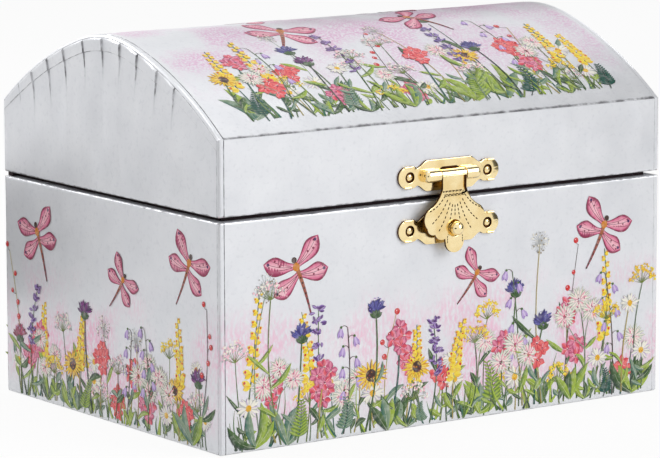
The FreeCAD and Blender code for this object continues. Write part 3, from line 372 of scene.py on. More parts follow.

# %% [markdown]
# The cover paper is silvery: white with a little metal in it, so it mirrors the room softly. A picture of
# paper would repeat; noise gives it grain, slow ripples and rubbed edges. Each paper piece stores a colour
# for each point that marks painted shade along its corners, laps, creases and pleats, and rubbed wear on its
# level edges, and the finish greys the paper there in broken patches. The rose haze behind the printed
# meadow is the paper's own tint, in fine specks that thin out with height.

# %% Pearl paper finish
def paper_relief(finish):
    """Ripples, grain and roughness that the bare paper and its print share."""
    ripples = finish.bump(finish.clouds(16 * mm, 2.0), 0.10 * mm)
    drags = finish.bump(finish.clouds(6 * mm, 3.0, stretch=(1, 1, 0.12)), 0.08 * mm, ripples)
    grain = finish.bump(finish.clouds(0.9 * mm, 4.0), 0.016 * mm, drags)
    finish.put("Normal", grain)
    finish.rough(finish.clouds(7 * mm), 0.30, 0.44)


def pearl_paper(name, haze, haze_reach, tint):
    """Haze is four heights: where it starts, is full, thins out and ends; haze_reach is its end aside."""
    finish = Finish(name, Metallic=0.45, Specular_IOR_Level=0.45)
    paper_relief(finish)
    mottled = finish.blend(finish.clouds(11 * mm, 4.0), screen(217, 219, 224), screen(236, 237, 240))
    flecks = finish.band(finish.clouds(1.3 * mm, 3.0), 0.5, 0.78)
    pearl = finish.blend(finish.maths("MULTIPLY", flecks, 0.4), mottled, screen(206, 208, 214))
    place = finish.node("SeparateXYZ", {"Vector": finish.place}).outputs
    start, full, thin, end = haze
    falling = finish.band(place["Z"], end, thin)
    risen = finish.maths("MULTIPLY", finish.band(place["Z"], start, full), falling)
    aside = finish.band(finish.maths("ABSOLUTE", place["X"]), haze_reach, haze_reach - 3 * mm)
    drift = finish.maths("MULTIPLY", aside, finish.band(finish.clouds(22 * mm, 2.0), 0.34, 0.64))
    hatching = finish.clouds(0.7 * mm, 2.0, stretch=(1, 1, 0.4))
    specks = finish.maths("MULTIPLY", drift, finish.band(hatching, 0.26, 0.70))
    haze_share = finish.maths("MULTIPLY", finish.maths("MULTIPLY", risen, specks), 0.85)
    hazy = finish.blend(haze_share, pearl, tint)
    # The stored marks are painted shade along corners, laps, creases and pleats, and rubbed wear on level
    # edges.
    rubbed_and_shaded = finish.node("Attribute", attribute_name="wear_and_shade").outputs["Fac"]
    uneven = finish.scaled(finish.clouds(2.4 * mm, 6.0), -0.4, 0.4)
    patchy_wear_and_shade = finish.band(finish.maths("ADD", rubbed_and_shaded, uneven), 0.35, 0.8)
    finish.put("Base Color", finish.blend(patchy_wear_and_shade, hazy, screen(104, 104, 108)))
    return finish


base_paper = pearl_paper("pearl_paper_base", (2 * mm, 12 * mm, 28 * mm, 46 * mm), half_width + 9 * mm,
                         screen(236, 176, 204))
lid_paper = pearl_paper("pearl_paper_lid", (96 * mm, 104 * mm, 120 * mm, 130 * mm), half_width - 2 * mm,
                        screen(214, 158, 198))
print("paper finishes:", base_paper.material.name, lid_paper.material.name)

# %% [markdown]
# The paper goes round the base in one strip, over the rim, and a little way down inside. A solidified box
# would have knife-sharp edges, so a profile of insets and heights is carried round a rectangle with small
# corner arcs. The ends' paper is folded round each corner, and the printed sheet starts beside it, so a
# narrow bare strip with a fine step runs up the front's corners and round the dome's ends.

# %% Paper round a rectangle
paper_edge = 0.95 * mm
corner_steps = 5
lap = 1.9 * mm
lap_step = 0.13 * mm
grid_step = 2 * mm
wear_width = 0.8 * mm
# Line marks are painted shade at the corners and painted shade with some wear at the laps' steps; crease
# marks are painted shade in the dome's crease; level marks are rubbed wear.
line_shade_and_wear, crease_shade, level_wear = 0.75, 0.66, 0.68


def walls():
    """Name, first corner, way along, way out and length of each wall, anticlockwise from the front."""
    corners = [Vector((x * half_width, y * half_depth, 0)) for x, y in four_corners]
    for number, name in enumerate(("front", "right", "back", "left")):
        span = corners[(number + 1) % 4] - corners[number]
        along = span.normalized()
        yield name, corners[number], along, Vector((along.y, -along.x, 0)), span.length


def paper_wave(point):
    """How far the glued paper stands off the flat at that point."""
    slow = noise.noise(point * 42) * 0.10 * mm
    quick = noise.noise(point * 130 + Vector((5, 3, 1))) * 0.035 * mm
    in_strip = paper_edge < half_width - abs(point.x) + 0.01 * mm < lap
    return slow + quick - (lap_step if in_strip else 0)


def marks(length):
    """Distances along a wall: even steps, and a close pair at each lap."""
    count = round(length / grid_step)
    even = [paper_edge + (length - 2 * paper_edge) * step / count for step in range(count + 1)]
    close = [paper_edge + 0.15 * mm] + [lap + offset * mm for offset in (-0.2, -0.04, 0.04, 0.2)]
    return sorted(even + close + [length - mark for mark in close])


def round_outline(inset):
    """Points round the box at that inset, each with the way it faces."""
    reach, radius = max(paper_edge, inset), max(paper_edge - inset, 0)
    for _, corner, along, out, length in walls():
        for mark in marks(length):
            share = (mark - paper_edge) / (length - 2 * paper_edge)
            yield corner + along * (reach + share * (length - 2 * reach)) - out * inset, out
        turn = corner + along * (length - reach) - out * (inset + radius)
        for step in range(1, corner_steps):
            angle = radians(90) * step / corner_steps
            way = out * cos(angle) + along * sin(angle)
            yield turn + way * radius, way


def wrapped_sheet(profile):
    """Points and faces of paper whose (inset, height) profile goes round the box."""
    points = []
    for inset, height in profile:
        for place, out in round_outline(inset):
            point = place + Vector((0, 0, height))
            points.append(point + out * (paper_wave(point) if inset < paper_edge else 0))
    columns = len(points) // len(profile)
    return points, grid_faces(len(profile), columns, closed=True)


def edge_wear_and_shade(points, edges, over_arch=False):
    """Painted shade and wear from 0 to 1 for each point: painted shade at the corners and crease, shade and
    wear at the laps, rubbed wear on level edges.
    """
    worn_and_shaded = []
    for point in points:
        across, deep = half_width - abs(point.x), half_depth - abs(point.y)
        outside = min(across, deep) < 0.4 * mm
        from_edge = min(abs(point.z - edge) for edge in edges)
        level = level_wear * outside * max(0.0, 1 - from_edge / wear_width)
        on_lap = abs(across - lap) < 0.1 * mm
        on_corner = across < 0.3 * mm and abs(deep - paper_edge) < 0.02 * mm
        if over_arch:
            on_corner = across < 0.01 * mm
        on_crease = over_arch and across > lap and abs(point.z - dome_spring) < 0.25 * mm
        worn_and_shaded.append(line_shade_and_wear if on_lap or on_corner else crease_shade if on_crease else level)
    return worn_and_shaded


def paint_wear_and_shade(made, worn_and_shaded):
    paint(made, "wear_and_shade", [(share, share, share, 1) for share in worn_and_shaded])


print("paper helpers ready; the strip beside each corner is", round(lap / mm, 1), "mm wide")

# %% [markdown]
# On the base, the strip is turned under at the bottom and over the rim, where it ends at the satin lining.
# Modifiers could bend a sheet like this; a profile with close rows at each fold is shorter.

# %% Base paper
turned_under = [(2.5 * mm, 0.1 * mm), (0.35 * mm, 0.1 * mm), (0.1 * mm, 0.35 * mm)]
fold_room = 0.8 * mm
face_count = round(base_rim / grid_step)
base_face = [(0, fold_room + (base_rim - 2 * fold_room) * step / face_count)
             for step in range(face_count + 1)]
over_rim = [(0, -0.4), (0.06 * mm, -0.2), (0.2 * mm, 0.0), (0.45 * mm, 0.1), (board / 2, 0.12),
            (board - 0.35 * mm, 0.1), (board - 0.03 * mm, -0.2)]
rim_turn = [(inset, base_rim + rise * mm) for inset, rise in over_rim]
points, faces = wrapped_sheet(turned_under + base_face + rim_turn)
base_cover = piece("base_cover_paper", points, faces, base_paper, "base",
                   ["base_wrap_paper"])
paint_wear_and_shade(base_cover, edge_wear_and_shade(points, (0, base_rim)))
print("base paper:", len(faces), "faces")

# %% [markdown]
# The lid's paper is a sheet bent over the dome and pasted down on the front and the back. First the dome's
# section is needed as a function of the distance from the front crease, because the print is laid out along
# that distance.

# %% Dome section
crown_angle = asin(crown_half_chord / crown_radius)
crown_z = dome_top - crown_radius
knee_z = crown_z + crown_radius * cos(crown_angle)
flank_run, flank_fall = half_depth - crown_half_chord, knee_z - dome_spring
flank_lean = 2 * (flank_fall * cos(crown_angle) - flank_run * sin(crown_angle))
flank_radius = (flank_run ** 2 + flank_fall ** 2) / flank_lean
flank_y = crown_half_chord - flank_radius * sin(crown_angle)
flank_z = knee_z - flank_radius * cos(crown_angle)
foot_angle = asin((half_depth - flank_y) / flank_radius)
flank_length = flank_radius * (foot_angle - crown_angle)
dome_length = 2 * (flank_length + crown_radius * crown_angle)


def dome_section(distance):
    """Point (y, z) of the dome at that distance from the front crease, and the way (y, z) that it faces."""
    side = -1 if distance < dome_length / 2 else 1
    run = min(distance, dome_length - distance)
    if run < flank_length:
        angle = foot_angle - run / flank_radius
        centre_y, centre_z, radius = flank_y, flank_z, flank_radius
    else:
        angle = crown_angle - (run - flank_length) / crown_radius
        centre_y, centre_z, radius = 0, crown_z, crown_radius
    way = (side * sin(angle), cos(angle))
    return (side * centre_y + radius * way[0], centre_z + radius * way[1]), way


print("over the dome:", round(dome_length / mm, 1), "mm, flank radius", round(flank_radius / mm, 1), "mm")

# %% [markdown]
# On each end the dome's paper is folded down over the arched board, and a curve can't be folded without
# pleats. A cloth simulation would make them, but their places are plain to see: about ten tucks along the
# arch, each a slow rise and a sharp drop that fades within some 15 mm. A thin step 4 mm inside the arch is
# the edge of the layer underneath.

# %% Pleats on the lid's ends
pleat_seed = random.Random(4)
pleat_count = 10
first_pleat, pleat_gap, pleat_stray = 0.2, 0.08, 0.01
pleats = [dome_length * (first_pleat + pleat_gap * number + pleat_seed.uniform(-pleat_stray, pleat_stray))
          for number in range(pleat_count)]
pleat_reach = [pleat_seed.uniform(13, 19) * mm for _ in pleats]
pleat_depth = [pleat_seed.uniform(0.35, 0.6) * mm for _ in pleats]
layer_edge, layer_thick = 4 * mm, 0.16 * mm
drape_start, drape_run = 7 * mm, 14 * mm
wrinkle_depth, fine_wrinkle_depth = 0.7 * mm, 0.34 * mm
# Pleat and layer marks are painted shade in the folds.
pleat_shade, layer_shade = 0.62, 0.55


def pleat_lift(distance, down):
    """How far the folded paper stands out, at that distance along the arch and that far below it."""
    number = sum(pleat < distance for pleat in pleats)
    if number == 0 or number == pleat_count:
        return 0
    share = (pleats[number] - distance) / (pleats[number] - pleats[number - 1])
    fade = max(0.0, 1 - down / pleat_reach[number - 1])
    return pleat_depth[number - 1] * share ** 2 * fade


def end_lift(y, distance, down):
    """How far an end's paper stands out: pleats and the layer underneath, then upright wrinkles."""
    layer = layer_thick if down < layer_edge else 0
    drape = min(1.0, max(0.0, (down - drape_start) / drape_run))
    wrinkles = (0.7 + noise.noise(Vector((y * 95, down * 14, 2)))) * wrinkle_depth
    fine_wrinkles = noise.noise(Vector((y * 190, down * 20, 7))) * fine_wrinkle_depth
    return pleat_lift(distance, down) + layer + (wrinkles + fine_wrinkles) * drape


def fold_shade(distance, down):
    """Painted shade along each pleat's fold, and fainter painted shade at the edge of the layer underneath.
    """
    nearest = min(range(pleat_count), key=lambda number: abs(pleats[number] - distance))
    on_line = abs(pleats[nearest] - distance) < 0.2 * mm
    along_pleat = pleat_shade * max(0.0, 1 - (down / pleat_reach[nearest]) ** 2) if on_line else 0
    return max(along_pleat, layer_shade if abs(down - layer_edge) < 0.12 * mm else 0)


print("pleats at", [round(pleat / mm) for pleat in pleats], "mm along the arch")

# %% [markdown]
# The dome's sheet is a grid: rows across the lid, columns along its section from the front rim to the back
# rim. An even grid would need tiny steps to keep the folds crisp, so its lines stand close together only at
# the pleats, the laps and the two creases.

# %% Sheet over the lid
crease_width, crease_depth = 0.3 * mm, 0.25 * mm
rim_room, rail_steps = 0.5 * mm, 11


def arch_marks():
    """Distances along the arch: even steps, and two close pairs at each pleat."""
    count = round(dome_length / grid_step)
    even = [dome_length * step / count for step in range(count + 1)]
    close = [pleat + offset * mm for pleat in pleats for offset in (-0.4, -0.13, 0.13, 0.4)]
    return sorted(even + close + [crease_width, dome_length - crease_width])


def lid_section():
    """The sheet's points (y, z) with the way each one faces, from the front rim to the back rim."""
    rail = dome_spring - lid_rim - 2 * rim_room
    rise = [lid_rim + rim_room + rail * step / rail_steps for step in range(rail_steps + 1)]
    rise.append(dome_spring - crease_width)
    front = [((-half_depth, z), (-1.0, 0.0)) for z in rise]
    dome = [dome_section(mark) for mark in arch_marks()]
    crease = radians(90 - degrees(foot_angle)) / 2
    dome[0] = (dome[0][0], (-cos(crease), sin(crease)))
    dome[-1] = (dome[-1][0], (cos(crease), sin(crease)))
    back = [((half_depth, z), (1.0, 0.0)) for z in reversed(rise)]
    return front + dome + back


def sheet_over_lid():
    """Points and faces of the sheet, rounded over at each end of the lid."""
    section = lid_section()
    flat = [(mark - half_width, 0.0) for mark in marks(2 * half_width)]
    turns = [radians(90) * step / corner_steps for step in range(1, corner_steps + 1)]
    right = [(half_width - paper_edge * (1 - sin(turn)), paper_edge * (1 - cos(turn)))
             for turn in turns]
    left = [(-x, inset) for x, inset in reversed(right)]
    across = left + flat + right
    points = []
    for x, inset in across:
        for (y, z), (way_y, way_z) in section:
            point = Vector((x, y - way_y * inset, z - way_z * inset))
            wave = paper_wave(point) if inset == 0 else 0
            if abs(x) < half_width - lap and abs(z - dome_spring) < 0.01 * mm:
                wave -= crease_depth
            points.append(point + Vector((0, way_y, way_z)) * wave)
    return points, [face[::-1] for face in grid_faces(len(across), len(section))]


dome_sheet = sheet_over_lid()
print("sheet over the lid:", len(dome_sheet[1]), "faces")

# %% [markdown]
# Each end is a second grid that starts on the arch with the same columns. One that is square to the rim
# would tear the pleats, so a column leaves the arch square to it and becomes upright below. The paper is
# glued down along its edges, so the lift fades out there. A narrow sheet goes under the rim.

# %% Ends of the lid
fold_rows = [0, 0.5, 1.2, 2.0, 3.0, 3.75, 3.95, 4.05, 4.25, 5, 6, 7.2, 8.4, 9.6, 10.8, 12, 13.5, 15, 17]
rows_below, short_drop, last_short_row = 12, 24 * mm, 0.8
column_bend, column_sag, corner_lean = 15 * mm, 6 * mm, 0.6
glued_corner, glued_arch, glued_rim = 4 * mm, 0.5 * mm, 14 * mm


def end_of_lid(side):
    """The folded paper on one end: columns from the arch down to the rim."""
    points, worn_and_shaded = [], []
    for mark in arch_marks():
        (y, z), (way_y, way_z) = dome_section(mark)
        if mark in (0, dome_length):
            way_y, way_z = copysign(1.0, way_y), corner_lean
        top = Vector((y - way_y * paper_edge, z - way_z * paper_edge))
        share = mark / dome_length
        bottom = Vector(((2 * share - 1) * (half_depth - paper_edge), lid_rim + rim_room))
        square = Vector((way_y, way_z)) * column_bend * sin(pi * share)
        bend = top - square - Vector((0, column_sag))
        drop = (top - bottom).length
        rows = [row * mm / drop for row in fold_rows]
        if drop < short_drop:
            rows = [row for row in rows if row < last_short_row]
        more = len(fold_rows) + rows_below - len(rows)
        rows += [rows[-1] + (1 - rows[-1]) * step / more for step in range(1, more + 1)]
        from_corner = min(mark, dome_length - mark) / glued_corner
        for row in rows:
            curve = top * (1 - row) ** 2 + bend * 2 * row * (1 - row) + bottom * row ** 2
            free = min(1.0, from_corner, row * drop / glued_arch, (1 - row) * drop / glued_rim)
            out = half_width + end_lift(curve.x, mark, row * drop) * free
            points.append(Vector((side * out, curve.x, curve.y)))
            worn_and_shaded.append(fold_shade(mark, row * drop))
    columns = len(arch_marks())
    faces = grid_faces(columns, len(points) // columns)
    return (points, faces if side > 0 else [face[::-1] for face in faces]), worn_and_shaded


under_rim = [(board + 0.03 * mm, 0.75), (board + 0.03 * mm, 0.4), (board - 0.05 * mm, 0.05),
             (board - 0.4 * mm, -0.12), (0.45 * mm, -0.12), (0.2 * mm, -0.06), (0.06 * mm, 0.2),
             (0.03 * mm, 0.5), (0.03 * mm, 0.8)]
rim_sheet = wrapped_sheet([(inset, lid_rim + rise * mm) for inset, rise in under_rim])
left_end, left_worn_and_shaded = end_of_lid(-1)
right_end, right_worn_and_shaded = end_of_lid(1)
lid_points, lid_faces = joined([dome_sheet, left_end, right_end, rim_sheet])
lid_cover = piece("lid_cover_paper", lid_points, lid_faces, lid_paper, "lid",
                  ["lid_wrap_paper", "lid_end_papers"])
dome_worn_and_shaded = edge_wear_and_shade(dome_sheet[0], (lid_rim,), over_arch=True)
paint_wear_and_shade(lid_cover, dome_worn_and_shaded + left_worn_and_shaded + right_worn_and_shaded + edge_wear_and_shade(rim_sheet[0], (lid_rim,)))
print("lid paper:", len(lid_faces), "faces,", pleat_count, "pleats on each end")

# %% [markdown]
# The print is a meadow in watercolour, drawn here from simple strokes. An image would be the usual way;
# shapes of ink stay sharp at any distance and need no file. A point on the sheet is a complex number,
# across plus up times j, in millimetres: adding moves it, and multiplying by a direction turns it. Each
# stroke is a little mesh, lifted so that later strokes cover earlier ones.

# %% Ink
luck = random.Random(21)
chance = luck.uniform
ink_finish = Finish("printed_ink", Metallic=0.2, Specular_IOR_Level=0.4)
paper_relief(ink_finish)
ink_tint = ink_finish.node("Attribute", attribute_name="ink").outputs["Color"]
wash = ink_finish.maths("MULTIPLY", ink_finish.band(ink_finish.clouds(1.5 * mm), 0.4, 0.8), 0.2)
ink_finish.put("Base Color", ink_finish.blend(wash, ink_tint, screen(246, 243, 243)))


class Print:
    """The ink on a sheet; place turns across, up and lift, in metres, into a point on the paper."""
    first_lift, next_lift = 0.03 * mm, 0.0004 * mm
    plant_levels, strokes_per_level = 4, 100

    def __init__(self):
        self.place = None
        self.points, self.faces, self.tints = [], [], []
        self.plants = self.layer = 0

    def new_plant(self):
        self.plants += 1
        self.layer = self.plants % self.plant_levels * self.strokes_per_level

    def strip(self, rows, tints):
        """Adds rows of points on the next lift, and returns the number of the first one."""
        self.layer += 1
        lift = self.first_lift + self.layer * self.next_lift
        first = len(self.points)
        self.points += [self.place(point.real * mm, point.imag * mm, lift) for row in rows for point in row]
        self.tints += [tint for row in tints for tint in row]
        return first

    def dot(self, middle, radius, tint, sides=7):
        rim = [middle + rect(radius, angle) for angle in full_turn(sides)]
        first = self.strip([rim], [[tint] * sides])
        self.faces.append(tuple(range(first, first + sides)))

    def ribbon(self, rows, tints):
        first = self.strip(rows, tints)
        self.faces += grid_faces(len(rows), len(rows[0]), first=first)


print("ink ready; a stroke lies", round(Print.next_lift / mm, 4), "mm above the one before")

# %% [markdown]
# A brush leaves a line that bows and gets thinner, and a petal is a short line that swells. Bevelled curves
# could draw both, but a ribbon of faces can carry a tint at every point.

# %% Strokes
def between(first, second, share):
    return tuple(a + (b - a) * share for a, b in zip(first, second))


def bent(foot, tip, sag, steps=8):
    """Points from foot to tip on a line that bows sideways by sag."""
    aside = (tip - foot) * 1j / abs(tip - foot) * sag
    shares = [step / steps for step in range(steps + 1)]
    return [foot + (tip - foot) * share + aside * sin(pi * share) for share in shares]


def stroke(ink, line, width, tint, thin=0.5, tip_tint=None):
    """A brush line that gets thinner towards its end."""
    rows, tints = [], []
    for number, point in enumerate(line):
        share = number / (len(line) - 1)
        ahead = line[min(number + 1, len(line) - 1)] - line[max(number - 1, 0)]
        aside = ahead * 1j / abs(ahead) * width / 2 * (1 + (thin - 1) * share)
        rows.append([point + aside, point - aside])
        tints.append([between(tint, tip_tint or tint, share)] * 2)
    ink.ribbon(rows, tints)


def petal(ink, root, angle, length, width, tints, sag=0.0, fullest=0.8, steps=5):
    """A petal with tints for left edge, middle and right edge; a low fullest makes it wide near the tip."""
    spine = bent(root, root + rect(length, radians(angle)), sag * length, steps)
    rows = []
    for number, point in enumerate(spine):
        ahead = spine[min(number + 1, steps)] - spine[max(number - 1, 0)]
        half = width / 2 * sin(pi * (0.1 + 0.9 * (number / steps) ** (1 / fullest)))
        aside = ahead * 1j / abs(ahead) * half
        rows.append([point + aside, point, point - aside])
    ink.ribbon(rows, [tints] * len(rows))


def petal_ring(ink, middle, count, start, length, width, tints, flat=1.0):
    """Petals round a middle; flat squeezes the ring as if it were seen from the side."""
    turn = chance(0, 360)
    for number in range(count):
        way = rect(1, radians(turn + 360 * (number + chance(-0.25, 0.25)) / count))
        way = complex(way.real, way.imag * flat)
        size = length * abs(way) * chance(0.82, 1.12)
        petal(ink, middle + way * start, degrees(phase(way)), size, width, luck.choice(tints))


def specks(ink, middle, spread, count, size, tints):
    """Small dots scattered round a middle."""
    for _ in range(count):
        place = middle + rect(spread * sqrt(luck.random()), chance(0, 2 * pi))
        ink.dot(place, size * chance(0.6, 1.2), luck.choice(tints), 6)


print("strokes ready")

# %% [markdown]
# The colours are those of a summer meadow. Leaves are two-toned, with a light rib. A petal has three tints,
# because in watercolour the pigment dries darker along the edges. The luck starts from a fixed seed, so the
# meadow is the same on each run.

# %% Colours and leaves of the meadow
olive, moss, lime = screen(112, 130, 52), screen(72, 106, 48), screen(164, 188, 66)
teal, sage, dark_green = screen(34, 96, 84), screen(140, 160, 132), screen(32, 56, 44)
straw, umber, cream = screen(190, 170, 90), screen(66, 42, 34), screen(244, 240, 226)
gold, lemon, amber = screen(230, 178, 40), screen(246, 222, 70), screen(206, 128, 32)
coral, rose, blush = screen(226, 82, 88), screen(214, 96, 138), screen(246, 196, 206)
wine, scarlet, plum = screen(128, 30, 66), screen(206, 44, 42), screen(74, 30, 88)
violet, lilac, ink_blue = screen(98, 62, 140), screen(178, 150, 208), screen(58, 52, 116)
pearl_grey = screen(176, 178, 176)


def green_leaf(ink, root, angle, length, width, tones=None):
    dark, light = tones or luck.choice([(moss, lime), (teal, sage), (dark_green, moss), (olive, lime)])
    sag = chance(-0.16, 0.16)
    petal(ink, root, angle, length, width, [dark, between(dark, light, 0.6), light], sag)
    rib = bent(root, root + rect(length * 0.92, radians(angle)), sag * length * 0.92, 4)
    stroke(ink, rib, 0.22, between(light, cream, 0.3), 0.3)


def stalk(ink, foot, tall, width=0.45, tones=(olive, moss, teal, straw)):
    """A stem with a few leaves at its lower half; returns the points along it."""
    lean = chance(-0.16, 0.16) * tall
    line = bent(foot, foot + complex(lean, tall), chance(-0.08, 0.08) * tall, 10)
    tone = luck.choice(tones)
    stroke(ink, line, width, between(tone, dark_green, 0.35), 0.6, tone)
    for _ in range(luck.randint(1, 3)):
        root = line[luck.randint(1, 5)]
        side = luck.choice((chance(20, 70), chance(110, 160)))
        green_leaf(ink, root, side, chance(0.12, 0.22) * tall + 2, chance(1.1, 2.2))
    return line


print("meadow colours and leaves ready")

# %% [markdown]
# A flower could be a stamp that is copied, but then all of a kind would be alike. So each kind is a short
# recipe on a stalk, with some luck in it: rays round a dark eye, a starry head, a cluster of blossoms, a
# daisy, a tuft in a green cup, a seed puff and an umbel of dots.

# %% Flowers with one head
def ray_flower(ink, foot, tall):
    head, size = stalk(ink, foot, tall, 0.7)[-1], chance(4.2, 5.6)
    tints = [(amber, gold, lemon), (gold, lemon, amber), (umber, gold, lemon)]
    petal_ring(ink, head, 20, size * 0.25, size * 0.8, 0.85, tints, 0.8)
    petal_ring(ink, head, 15, size * 0.2, size * 0.5, 0.8, tints, 0.8)
    ink.dot(head, size * 0.34, umber, 11)
    specks(ink, head, size * 0.34, 18, 0.26, [amber, screen(110, 70, 44), umber, wine])


def starry_flower(ink, foot, tall):
    stem = stalk(ink, foot, tall)
    outer = [(sage, cream, pearl_grey), (pearl_grey, cream, sage)]
    inner = [(blush, cream, pearl_grey), (rose, blush, cream)]
    offsets = [0, complex(-5.5, -4.5), complex(5, -3.5)][:luck.randint(1, 3)]
    for offset in offsets:
        head, size = stem[-1] + offset, chance(3.6, 4.8)
        if offset:
            stroke(ink, bent(stem[5], head, 0.8, 6), 0.3, sage)
        petal_ring(ink, head, 22, size * 0.2, size * 0.85, 0.85, outer, 0.9)
        petal_ring(ink, head, 13, size * 0.15, size * 0.6, 0.8, inner)
        specks(ink, head, size * 0.5, 26, 0.22, [rose, wine, cream, blush])


def cluster_flower(ink, foot, tall):
    head = stalk(ink, foot, tall, 0.6)[-1]
    deep, fair = luck.choice([(screen(204, 46, 66), screen(238, 116, 112)),
                              (screen(176, 52, 98), screen(232, 142, 170))])
    for offset in (complex(-2.4, 0.6), complex(2.2, 1.4), complex(0.4, -2.0), complex(0.2, 3.2)):
        middle = head + offset * chance(0.8, 1.15)
        petal_ring(ink, middle, 6, 0.3, 2.5, 1.9, [(deep, fair, deep), (deep, coral, fair)])
        petal_ring(ink, middle, 5, 0.5, 1.3, 0.22, [(deep, wine, deep), (blush, blush, fair)])
        ink.dot(middle, 0.4, wine)
        specks(ink, middle, 0.5, 4, 0.16, [cream, blush])


def daisy(ink, foot, tall):
    head, size = stalk(ink, foot, tall)[-1], chance(3.0, 4.2)
    tints = [(pearl_grey, cream, cream), (lilac, cream, pearl_grey)]
    petal_ring(ink, head, 15, size * 0.22, size * 0.85, 1.15, tints, 0.85)
    ink.dot(head, size * 0.27, gold, 10)
    specks(ink, head, size * 0.27, 12, 0.2, [amber, lemon, gold])


def tuft_flower(ink, foot, tall):
    head = stalk(ink, foot, tall, 0.6, (dark_green, moss))[-1]
    tones = [(plum, screen(150, 62, 142)), (ink_blue, screen(104, 104, 178)), (wine, rose)]
    deep, fair = luck.choice(tones)
    for angle in range(20, 165, 8):
        reach = chance(3.0, 4.6)
        turn = angle + chance(-5, 5)
        petal(ink, head, turn, reach, 0.9, [deep, luck.choice((fair, deep)), deep], 0.08, 0.5)
    for angle in (35, 62, 90, 118, 145):
        petal(ink, head - 1.7j, angle, 2.6, 1.3, [dark_green, moss, dark_green])
    specks(ink, head + 2j, 2.4, 10, 0.2, [fair, lilac])


def puff_flower(ink, foot, tall):
    head, size = stalk(ink, foot, tall, 0.35, (sage, straw))[-1], chance(3.2, 4.2)
    for angle in full_turn(22):
        tip = head + rect(size * chance(0.7, 1), angle)
        stroke(ink, bent(head, tip, 0.1, 2), 0.12, pearl_grey, 0.8)
    specks(ink, head, size, 46, 0.27, [cream, pearl_grey, screen(150, 136, 112), cream])


def umbel_flower(ink, foot, tall):
    head = stalk(ink, foot, tall * 0.86, 0.4, (olive, moss))[-1]
    tones = luck.choice([[lemon, gold, screen(232, 206, 60)], [cream, pearl_grey, blush]])
    for angle in range(20, 170, 15):
        tip = head + rect(chance(3.6, 5.4), radians(angle + chance(-6, 6)))
        stroke(ink, bent(head, tip, 0.3, 3), 0.18, olive)
        specks(ink, tip, 1.25, 9, 0.36, tones)


print("seven kinds with one head")

# %% [markdown]
# Other kinds have many small heads. One shape could stand for them all, but on a real stem they sit in turn
# on its left and right, so each is placed at a point of the stem's line. Ferns, grasses and leaves fill the
# ground between.

# %% Spikes, bells, berries and grasses
def golden_spike(ink, foot, tall):
    stem = stalk(ink, foot, tall)
    blossoms = 16
    for number in range(blossoms):
        share = 0.4 + 0.6 * number / blossoms
        place = stem[int(share * 10)] + (stem[-1] - stem[-2]) * (share * 10 % 1)
        side = 1 if number % 2 else -1
        size = 2.4 * (1.25 - share) + 0.7
        angle = 90 - side * chance(35, 70)
        petal(ink, place, angle, size * 1.25, size * 0.75, [gold, lemon, lemon])
        petal(ink, place, angle - side * 45, size, size * 0.6, [lemon, screen(238, 206, 48), gold])
        ink.dot(place + rect(size * 0.9, radians(angle)), size * 0.17, scarlet)


def violet_spike(ink, foot, tall):
    stem = stalk(ink, foot, tall, 0.4, (moss, sage))
    tones = luck.choice([(plum, violet, lilac), (ink_blue, violet, lilac)])
    for whorl in range(5, 11):
        for _ in range(8):
            root = stem[whorl] + complex(chance(-1.3, 1.3), chance(-0.9, 0.9))
            angle = chance(-10, 190)
            petal(ink, root, angle, chance(1.3, 2.2), 0.95, luck.sample(tones, 3))


def bell_flower(ink, foot, tall):
    stem = stalk(ink, foot, tall, 0.4, (umber, moss))
    for number in range(4, 11):
        side = 1 if number % 2 else -1
        hook = stem[number] + complex(side * chance(1.4, 2.6), chance(0.2, 1.0))
        stroke(ink, bent(stem[number], hook, 0.5 * side, 4), 0.22, umber)
        angle = -90 + side * chance(5, 30)
        petal(ink, hook, angle - 14, 3.4, 1.2, [violet, lilac, lilac], 0.0, 0.6)
        petal(ink, hook, angle + 14, 3.4, 1.2, [lilac, lilac, violet], 0.0, 0.6)
        petal(ink, hook, angle, 3.0, 1.1, [lilac, screen(216, 196, 232), lilac], 0.0, 0.7)
        ink.dot(hook, 0.42, moss)


def berry_sprig(ink, foot, tall):
    stem = stalk(ink, foot, tall, 0.35, (umber, straw))
    for number in (5, 6, 7, 8, 10):
        berry = stem[number] + complex(chance(-3, 3), chance(0.5, 2))
        stroke(ink, bent(stem[number], berry, 0.4, 3), 0.2, umber)
        ink.dot(berry, chance(0.7, 1.0), scarlet, 9)
        ink.dot(berry + complex(-0.25, 0.3), 0.22, blush)


def fern(ink, foot, tall):
    tip = foot + complex(chance(-0.4, 0.4) * tall, tall)
    stem = bent(foot, tip, chance(-0.15, 0.15) * tall, 12)
    dark, light = luck.choice([(teal, sage), (moss, lime), (dark_green, teal)])
    stroke(ink, stem, 0.35, dark)
    for number in range(2, 13):
        for side in (-1, 1):
            size = (1.15 - number / 13) * tall * 0.28 + 0.6
            petal(ink, stem[number], 90 - side * 62, size, size * 0.34, [dark, light, dark])


def grass(ink, foot, tall):
    for _ in range(luck.randint(3, 5)):
        tip = foot + complex(chance(-0.45, 0.45) * tall, tall * chance(0.6, 1.2))
        tone = luck.choice((teal, olive, moss, dark_green, lime))
        blade = bent(foot + chance(-1.5, 1.5), tip, chance(-0.15, 0.15) * tall)
        stroke(ink, blade, 0.75, tone, 0.1, between(tone, lime, 0.4))


def leaf_tuft(ink, foot, tall):
    for angle in (50, 75, 105, 130):
        green_leaf(ink, foot, angle + chance(-15, 15), tall * chance(0.7, 1.1), tall * 0.24)


print("five kinds with several heads, and the undergrowth")

# %% [markdown]
# Rose-coloured dragonflies rest above the flowers. A wing could have a drawn outline. Here a pale petal
# lies on a dark one, which leaves a soft rim, and a few veins run along it.

